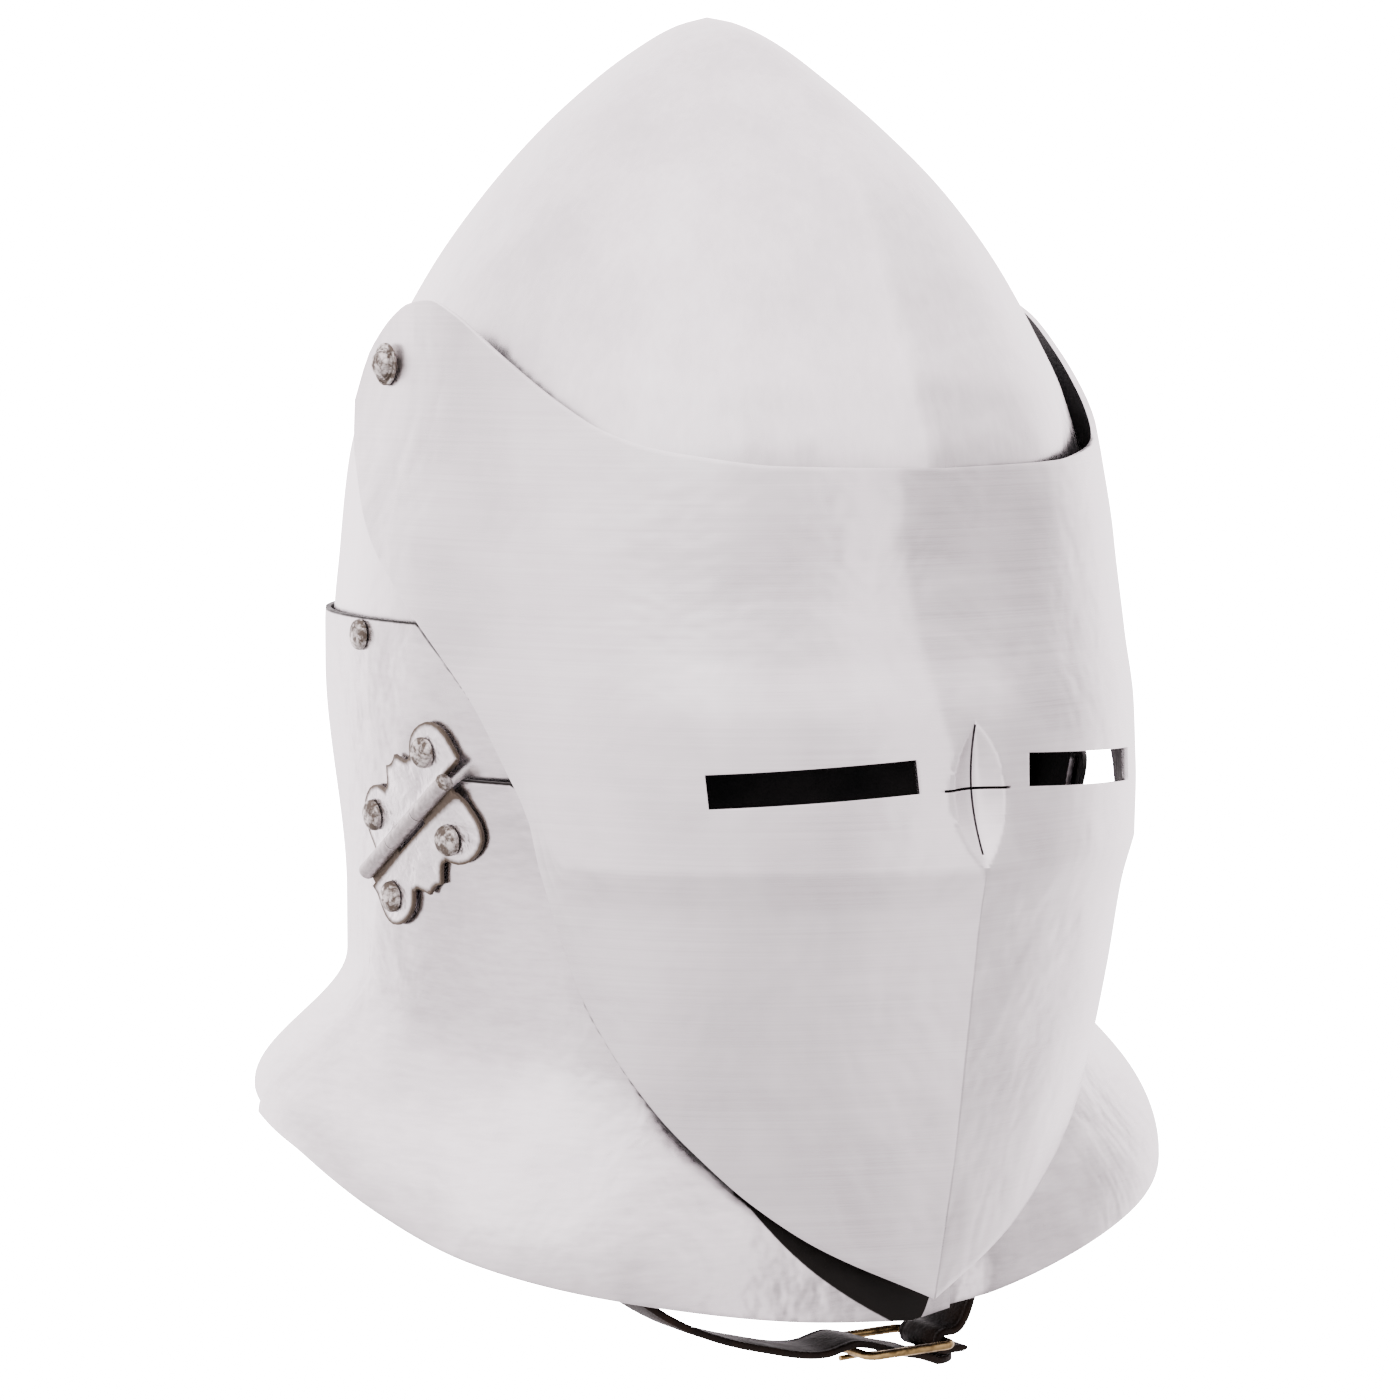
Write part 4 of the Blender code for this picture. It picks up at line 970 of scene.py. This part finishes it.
def rivetGroup():
    # a domed head on every point, turned to its way out and then hammered and pitted
    group, wire = startGroup("rivetHeads", (("Points", "Geometry"), ("Radius", "Float"), ("Rise", "Float"),
                                            ("Flatness", "Float"), ("Pit Depth", "Float"), ("Seed", "Int"),
                                            ("Metal", "Material")), "Heads")
    start = wire("Points")
    ball = start.node("GeometryNodeMeshUVSphere", {},
                      {"Segments": rivet["segments"], "Rings": rivet["rings"], "Radius": 1.0})
    spot = start.node("GeometryNodeInputPosition", {}, {})
    x, y, z = (spot.node("ShaderNodeSeparateXYZ", {}, {0: spot}, output) for output in range(3))
    dome = z.sum("MAXIMUM", z, 0.0) ** wire("Flatness")
    level = dome * wire("Rise") + z.sum("MINIMUM", z, 0.0) * (wire("Rise") * rivet["footShare"])
    radius = wire("Radius")
    shaped = x.node("ShaderNodeCombineXYZ", {}, {0: x * radius, 1: y * radius, 2: level})
    head = ball.node("GeometryNodeSetPosition", {}, {"Geometry": ball, "Position": shaped})
    out = head.node("GeometryNodeInputNamedAttribute", {"data_type": "FLOAT_VECTOR"}, {"Name": "wayOut"})
    size = head.node("GeometryNodeInputNamedAttribute", {"data_type": "FLOAT"}, {"Name": "size"})
    turn = head.node("FunctionNodeAlignRotationToVector", {"axis": "Z"}, {"Vector": out})
    spinAngle = head.node("FunctionNodeRandomValue", {"data_type": "FLOAT"},
                          {2: 0.0, 3: tau, "Seed": wire("Seed")}, 1)
    spin = head.node("FunctionNodeAxisAngleToRotation", {}, {"Axis": (0.0, 0.0, 1.0), "Angle": spinAngle})
    turn = head.node("FunctionNodeRotateRotation", {"rotation_space": "LOCAL"}, {0: turn, 1: spin})
    placed = head.node("GeometryNodeInstanceOnPoints", {},
                       {"Points": start, "Instance": head, "Rotation": turn, "Scale": size})
    real = placed.node("GeometryNodeRealizeInstances", {}, {"Geometry": placed})
    pits = real.node("GeometryNodeInputPosition", {}, {}).noise(rivet["pitScale"], 3.0, 0.6)
    offset = real.node("GeometryNodeInputNormal", {}, {})
    offset = offset.node("ShaderNodeVectorMath", {"operation": "SCALE"},
                         {0: offset, "Scale": (pits - rivet["pitLevel"]) * wire("Pit Depth") * 2.0})
    real = real.node("GeometryNodeSetPosition", {}, {"Geometry": real, "Offset": offset})
    real = real.node("GeometryNodeSetMaterial", {}, {"Geometry": real, "Material": wire("Metal")})
    return endGroup(group, real)


def runGroup(piece, group, values, sharp):
    sockets = {item.name: item.identifier for item in group.interface.items_tree
               if item.in_out == "INPUT"}
    live = piece.modifiers.new("nodes", "NODES")
    live.node_group = group
    for label, value in values.items():
        live[sockets[label]] = value
    return settle(piece, sharp)


def makeRivets():
    group = rivetGroup()
    spots = rivetSpots()
    values = {"Radius": rivet["radius"], "Rise": rivet["rise"], "Flatness": rivet["flatness"],
              "Pit Depth": rivet["pitDepth"], "Seed": rivet["seed"], "Metal": rivetMetal}
    for body in sorted({spot[0] for spot in spots}):
        nodes, places, ways, scales = zip(*(spot[1:] for spot in spots if spot[0] == body))
        piece = meshFrom("rivets_" + body, places, [], [])
        mark(piece, "wayOut", "FLOAT_VECTOR", [part for way in ways for part in way])
        mark(piece, "size", "FLOAT", scales)
        finish(runGroup(piece, group, values, 60.0), body, "aged_rivet", *nodes)


# strap and buckle
strap = {
    "width": 0.020, "wall": 0.0022, "rootHeight": 0.062, "rootY": -0.012, "seatGap": 0.0008,
    "lowDepth": 0.1775, "lowY": -0.045, "steps": 24, "step": 0.0012, "edge": 0.0007,
    "lineDepth": 0.00012, "lineInset": 0.0021, "lineHalfWidth": 0.0004, "endFlatness": 0.55,
    "buckleX": 0.0355, "buckleLength": 0.031, "wire": 0.0014, "sideGap": 0.0008, "corner": 0.003,
    "fold": 0.008, "tail": 0.007, "tongue": 0.0009, "unevenness": 0.10, "clearFolds": 2.5,
    "foldFoot": 0.98, "tipShare": 0.12, "lowShare": 0.6, "barSides": 24, "barGrain": 260.0,
    "hookStart": 20, "hookTurn": 240,
}
# the tail's way through the buckle: share of the frame's length, folds along, folds up, laps up
tailRows = [
    (0.00, -0.6, 1.15, 0.00), (0.00, 0.6, 0.95, 0.00), (0.46, 0.0, -0.45, 0.00),
    (1.00, -1.9, 0.00, -0.78), (1.00, -0.8, 0.00, -1.03),
]
# side, drop and way forward of the whole loop
strapRows = [
    (-1.000, 0.000, 0.00), (-0.995, 0.140, 0.05), (-0.965, 0.360, 0.20), (-0.880, 0.600, 0.50),
    (-0.700, 0.820, 0.80), (-0.440, 0.925, 1.00), (-0.150, 0.973, 1.00), (0.170, 0.996, 1.00),
    (0.470, 1.000, 1.00), (0.700, 0.860, 0.80), (0.880, 0.640, 0.50), (0.965, 0.380, 0.20),
    (0.995, 0.140, 0.05), (1.000, 0.000, 0.00),
]


def strapRoom():
    places = (strap["rootY"] - strap["width"] / 2, strap["rootY"], strap["rootY"] + strap["width"] / 2)
    side = min(sideReach(place, strap["rootHeight"], skullPoint) for place in places)
    return side - skull["wall"] - strap["wall"] / 2 - strap["seatGap"]


def evenly(points, step=0.0, count=0):
    # a smooth path through the points, in even steps
    spans = [0.0]
    for before, after in zip(points, points[1:]):
        spans.append(spans[-1] + (after - before).length)
    rows = [(run, *point) for run, point in zip(spans, points)]
    count = count or max(2, round(spans[-1] / step))
    return [Vector(readRows(rows, spans[-1] * i / count)) for i in range(count + 1)]


def strapRoute():
    room = strapRoom()
    points = [Vector((side * room, mix(strap["rootY"], strap["lowY"], forward),
                      mix(strap["rootHeight"], -strap["lowDepth"], drop)))
              for side, drop, forward in strapRows]
    return evenly(points, count=strap["steps"])


def leatherStrip(name, route, tip):
    # rounded edges, and a pressed line inside each edge of both faces
    path = evenly(route, strap["step"])
    half, thick, edge = strap["width"] / 2, strap["wall"] / 2, strap["edge"]
    line, depth = strap["lineInset"], strap["lineDepth"]
    lineHalf = strap["lineHalfWidth"]
    face = [(half - edge, 0.0), (half - line + lineHalf, 0.0), (half - line, depth),
            (half - line - lineHalf, 0.0), (half * 0.4, -depth / 3), (0.0, -depth / 2)]
    upper = [(y, thick - fall) for y, fall in face]
    upper += [(-y, level) for y, level in reversed(upper[:-1])]
    bend = [(edge * sin(pi * i / 6), edge * cos(pi * i / 6)) for i in range(1, 6)]
    ring = upper + [(-(half - edge) - out, thick * level / edge) for out, level in bend]
    ring += [(y, -level) for y, level in reversed(upper)]
    ring += [(half - edge + out, -thick * level / edge) for out, level in bend]
    total = len(path) - 1
    points = []
    for i, point in enumerate(path):
        way = (path[min(i + 1, total)] - path[max(i - 1, 0)]).normalized()
        up = way.cross(Vector((0, 1, 0))).normalized()
        left = (total - i) * strap["step"]
        narrow = 1.0
        if tip and left < tip:
            narrow = max(strap["tipShare"], (1.0 - (1.0 - left / tip) ** 2) ** 0.5)
        flat = strap["endFlatness"] if i in (0, total) else 1.0
        points += [point + Vector((0, y * narrow, 0)) + up * level * flat for y, level in ring]
    faces = gridFaces(len(path), len(ring), closed=True)
    faces.append(tuple(range(len(ring))))
    faces.append(tuple(total * len(ring) + i for i in reversed(range(len(ring)))))
    piece = meshFrom(name, points, faces, [strapLeather])
    reshape(piece, faceOutwards)
    return settle(piece, 50.0)


def sweepGroup():
    # a round bar along a path, swelling and thinning by its own noise
    group, wire = startGroup("roundBar", (("Path", "Geometry"), ("Radius", "Float"), ("Unevenness", "Float"),
                                          ("Metal", "Material")), "Bar")
    path = wire("Path")
    curve = path.node("GeometryNodeMeshToCurve", {}, {"Mesh": path})
    circle = path.node("GeometryNodeCurvePrimitiveCircle", {},
                       {"Resolution": strap["barSides"], "Radius": 1.0})
    grain = path.node("GeometryNodeInputPosition", {}, {}).noise(strap["barGrain"], 2.0, 0.5)
    radius = wire("Radius") * (1.0 - grain * wire("Unevenness"))
    bar = curve.node("GeometryNodeCurveToMesh", {}, {"Curve": curve, "Profile Curve": circle,
                                                     "Scale": radius, "Fill Caps": True})
    bar = bar.node("GeometryNodeSetMaterial", {}, {"Geometry": bar, "Material": wire("Metal")})
    return endGroup(group, bar)


def roundBar(name, group, points, radius, closed):
    count = len(points)
    edges = [(i, (i + 1) % count) for i in range(count if closed else count - 1)]
    piece = meshFrom(name, points, [], [], edges)
    runGroup(piece, group, {"Radius": radius, "Unevenness": strap["unevenness"], "Metal": brassMetal}, 50.0)

    def close(shape):
        bmesh.ops.remove_doubles(shape, verts=shape.verts, dist=0.000002)
        faceOutwards(shape)
    reshape(piece, close)
    return piece


def makeStrap():
    route = strapRoute()
    lowY, wire, wall, gap = strap["lowY"], strap["wire"], strap["wall"], hinge["touchGap"]
    low = [point for point in route if point.z < -strap["lowDepth"] * strap["lowShare"]]
    level = next(mix(a.z, b.z, (strap["buckleX"] - a.x) / (b.x - a.x))
                 for a, b in zip(low, low[1:]) if a.x <= strap["buckleX"] <= b.x)
    near = strap["buckleX"] - strap["buckleLength"] / 2
    far = strap["buckleX"] + strap["buckleLength"] / 2
    fold = wire + gap + wall / 2
    under = fold + wall + 2 * gap
    clear = strap["clearFolds"] * fold
    tail = [point for point in route if point.x < near - clear]
    tail += [Vector((mix(near, far, share) + along * fold, lowY, level + up * fold + laps * under))
             for share, along, up, laps in tailRows]
    tail += [Vector((far + strap["tail"] * i / 5, lowY, tail[-1].z)) for i in range(1, 6)]
    finish(leatherStrip("strapTailSide", tail, strap["width"] / 2), rootBody, "dark_leather",
           "strap_tail_side")
    short = [point for point in reversed(route) if point.x > far + clear]
    short.append(Vector((far + fold, lowY, level + fold)))
    short += [Vector((far - fold * sin(turn), lowY, level + fold * cos(turn)))
              for turn in (pi / 6 * i for i in range(7))]
    short.append(Vector((far + strap["fold"], lowY, level - fold * strap["foldFoot"])))
    finish(leatherStrip("strapBuckleSide", short, 0.0), rootBody, "dark_leather", "strap_buckle_side")
    halfY = strap["width"] / 2 + strap["sideGap"] + strap["corner"]
    corner = strap["corner"]
    outline = []
    for x, y, start in ((far, halfY, 0.0), (near, halfY, pi / 2), (near, -halfY, pi),
                        (far, -halfY, 3 * pi / 2)):
        cx = x - corner if x == far else x + corner
        cy = y - corner if y > 0 else y + corner
        for i in range(9):
            turn = start + pi / 2 * i / 8
            outline.append(Vector((cx + corner * cos(turn), lowY + cy + corner * sin(turn), level)))
    bars = sweepGroup()
    finish(roundBar("buckleFrame", bars, outline, wire, True), rootBody, "antique_brass", "buckle_frame")
    ring = wire + gap + strap["tongue"]
    hook = [Vector((far + ring * cos(turn), lowY, level + ring * sin(turn)))
            for turn in (radians(strap["hookStart"] + strap["hookTurn"] * i / 20) for i in range(21))]
    hook.append(Vector((near - wire, lowY, level - ring - gap)))
    finish(roundBar("buckleTongue", bars, hook, strap["tongue"], False), rootBody, "antique_brass",
           "buckle_tongue")


makeRivets()
makeStrap()
print("rivets and strap made")


# pivots
pivot = {
    "height": 0.1195, "back": 0.0075, "pin": 0.0025, "head": 0.0042, "rise": 0.0034, "washer": 0.0062,
    "washerWall": 0.0009, "lip": 0.0002, "groove": 0.00025, "tail": 0.0040, "tailRise": 0.0016,
    "earSlant": 1.05, "skullSlant": 1.4, "steps": 64,
}


def makePivot(side, sign):
    # the visor's rivet: two stepped washers under a domed head, a shoulder and a clenched tail
    circle = [(pivot["back"] + pivot["washer"] * cos(tau * i / 8),
               pivot["height"] + pivot["washer"] * sin(tau * i / 8)) for i in range(8)]
    skullSides = [sideReach(*place, skullPoint) for place in circle]
    ears = [sideReach(*place, visorPoint) for place in circle]
    gap = hinge["touchGap"]
    base = max(ears) + gap
    shoulder = min(ears) - visor["wall"] * pivot["earSlant"] - gap
    foot = max(skullSides) + gap
    tail = min(skullSides) - skull["wall"] * pivot["skullSlant"] - gap
    top = base + pivot["washerWall"]
    washer, head, pin = pivot["washer"], pivot["head"], pivot["pin"]
    lip, groove, clench, drop = pivot["lip"], pivot["groove"], pivot["tail"], pivot["tailRise"]
    rings = [(clench * 0.5, tail - drop), (clench * 0.85, tail - drop * 0.7), (clench, tail - lip),
             (pin, tail), (pin, foot), (washer, foot), (washer, shoulder), (pin, shoulder), (pin, base),
             (washer - lip, base), (washer, base + lip), (washer, top - lip), (washer - lip, top),
             (washer - 3.5 * lip, top), (washer - 4 * lip, top - groove), (head + 3 * lip, top - groove),
             (head + 2 * lip, top + 2 * lip), (head + 0.5 * lip, top + 2.5 * lip), (head, top + 1.5 * lip)]
    rings += [(head * cos(turn), top + 1.5 * lip + (pivot["rise"] - 2 * lip) * sin(turn) ** 0.9)
              for turn in (pi / 24 * i for i in range(1, 12))]
    points, faces = [], []
    frameAt = alongWay(Vector((sign, 0, 0)), Vector((0.0, pivot["back"], pivot["height"])))
    spunRing(points, faces, rings, pivot["steps"], frameAt)
    piece = meshFrom("visorPivot_" + side, [], [], [rivetMetal])
    finish(joinTo(piece, points, faces), rootBody, "aged_rivet", "visor_pivot_" + side)


for side, sign in sides.items():
    makePivot(side, sign)
print("pivots made")


# floor, light and camera
studio = {
    "floorDrop": 0.10, "floorSize": 14.0, "floorGlow": 30.0, "back": (-0.54257, -0.83548, 0.08716),
    "target": (-0.00795, -0.00847, -0.10707), "distance": 1.4, "lens": 119.5,
    "middle": 1.80, "toRight": -0.85, "toBack": -0.40, "seen": 30.0, "tint": (1.05, 0.945, 0.985, 1.0),
    "lightBand": (0.02, 0.20, 0.34), "lightGain": 1.4, "darkBand": (0.34, 0.52, 0.72), "darkLoss": 0.85,
    "bandAhead": (0.0, 0.4), "backdrop": 2.8, "backdropSpan": (0.15, 0.8), "room": 0.70,
    "roomSpan": (0.55, 1.0), "zenith": 3.4, "zenithSpan": (0.15, 0.95), "below": 0.56,
    "belowSpan": (0.0, 0.85), "keyPlace": (-1.6, -1.4, 1.3), "keySize": 1.6, "keyPower": 6.0,
}


def paleFloor(name):
    made, shader, place = startMaterial(name)
    grain = place.noise(35.0, 3.0, 0.5)
    tone = grain.between(0.3, 0.7).blend((0.90, 0.90, 0.91, 1.0), (0.93, 0.93, 0.935, 1.0))
    feed(shader, {"Base Color": tone, "Roughness": 0.75 + grain * 0.1, "Emission Color": tone,
                  "Emission Strength": studio["floorGlow"]})
    return made


def makeFloor():
    size = studio["floorSize"] / 2
    height = cadBox[0].z - studio["floorDrop"] - seatDrop.z
    floor = meshFrom("floor", [Vector((x, y, height)) for x, y in
                               ((-size, -size), (size, -size), (size, size), (-size, size))],
                     [(0, 1, 2, 3)], [paleFloor("paleFloor")])
    floor.visible_glossy = False
    floor.visible_diffuse = False


def makeLight():
    lamp = bpy.data.lights.new("keyLight", "AREA")
    lamp.size = studio["keySize"]
    lamp.energy = studio["keyPower"]
    made = bpy.data.objects.new("keyLight", lamp)
    made.location = studio["keyPlace"]
    aim = Vector(studio["target"]) - made.location
    made.rotation_euler = aim.to_track_quat("-Z", "Y").to_euler()
    bpy.context.scene.collection.objects.link(made)


def makeWorld():
    # a soft tent of light: bright overhead and at the backdrop, darker to the right and in the room
    world = bpy.data.worlds.new("studioWorld")
    world.use_nodes = True
    bpy.context.scene.world = world
    tree = world.node_tree
    backdrop = tree.nodes["Background"]
    way = Wire(tree, tree.nodes.new("ShaderNodeTexCoord").outputs["Generated"])
    x, y, z = (way.node("ShaderNodeSeparateXYZ", {}, {0: way}, output) for output in range(3))
    level = studio["middle"] + x * studio["toRight"] + y * studio["toBack"]
    # two upright panels to the front, a bright one and a grey one, give the steel its streaks
    ahead = (y * -1.0).between(*studio["bandAhead"])
    for name, gain in (("lightBand", studio["lightGain"]), ("darkBand", -studio["darkLoss"])):
        start, middle, end = studio[name]
        level = level + x.between(start, middle) * (1.0 - x.between(middle, end)) * ahead * gain
    away = way.node("ShaderNodeVectorMath", {"operation": "DOT_PRODUCT"},
                    {0: way, 1: tuple(Vector(studio["back"]).normalized())}, 1)
    level = level + (away * -1.0).between(*studio["backdropSpan"]) * studio["backdrop"]
    level = level - away.between(*studio["roomSpan"]) * studio["room"]
    high = z.between(*studio["zenithSpan"])
    deep = (z * -1.0).between(*studio["belowSpan"])
    level = level + high * (studio["zenith"] - level)
    level = level * (1.0 - deep * (1.0 - studio["below"]))
    seen = way.node("ShaderNodeLightPath", {}, {}, 0)
    strength = level + seen * (studio["seen"] - level)
    tree.links.new(strength.socket, backdrop.inputs["Strength"])
    backdrop.inputs["Color"].default_value = studio["tint"]


def makeCamera():
    lens = bpy.data.cameras.new("camera")
    lens.sensor_width = 36.0
    lens.lens = studio["lens"]
    made = bpy.data.objects.new("camera", lens)
    back = Vector(studio["back"]).normalized()
    made.location = Vector(studio["target"]) + back * studio["distance"]
    made.rotation_euler = (-back).to_track_quat("-Z", "Y").to_euler()
    bpy.context.scene.collection.objects.link(made)
    bpy.context.scene.camera = made


makeFloor()
makeWorld()
makeLight()
makeCamera()
print("studio made")
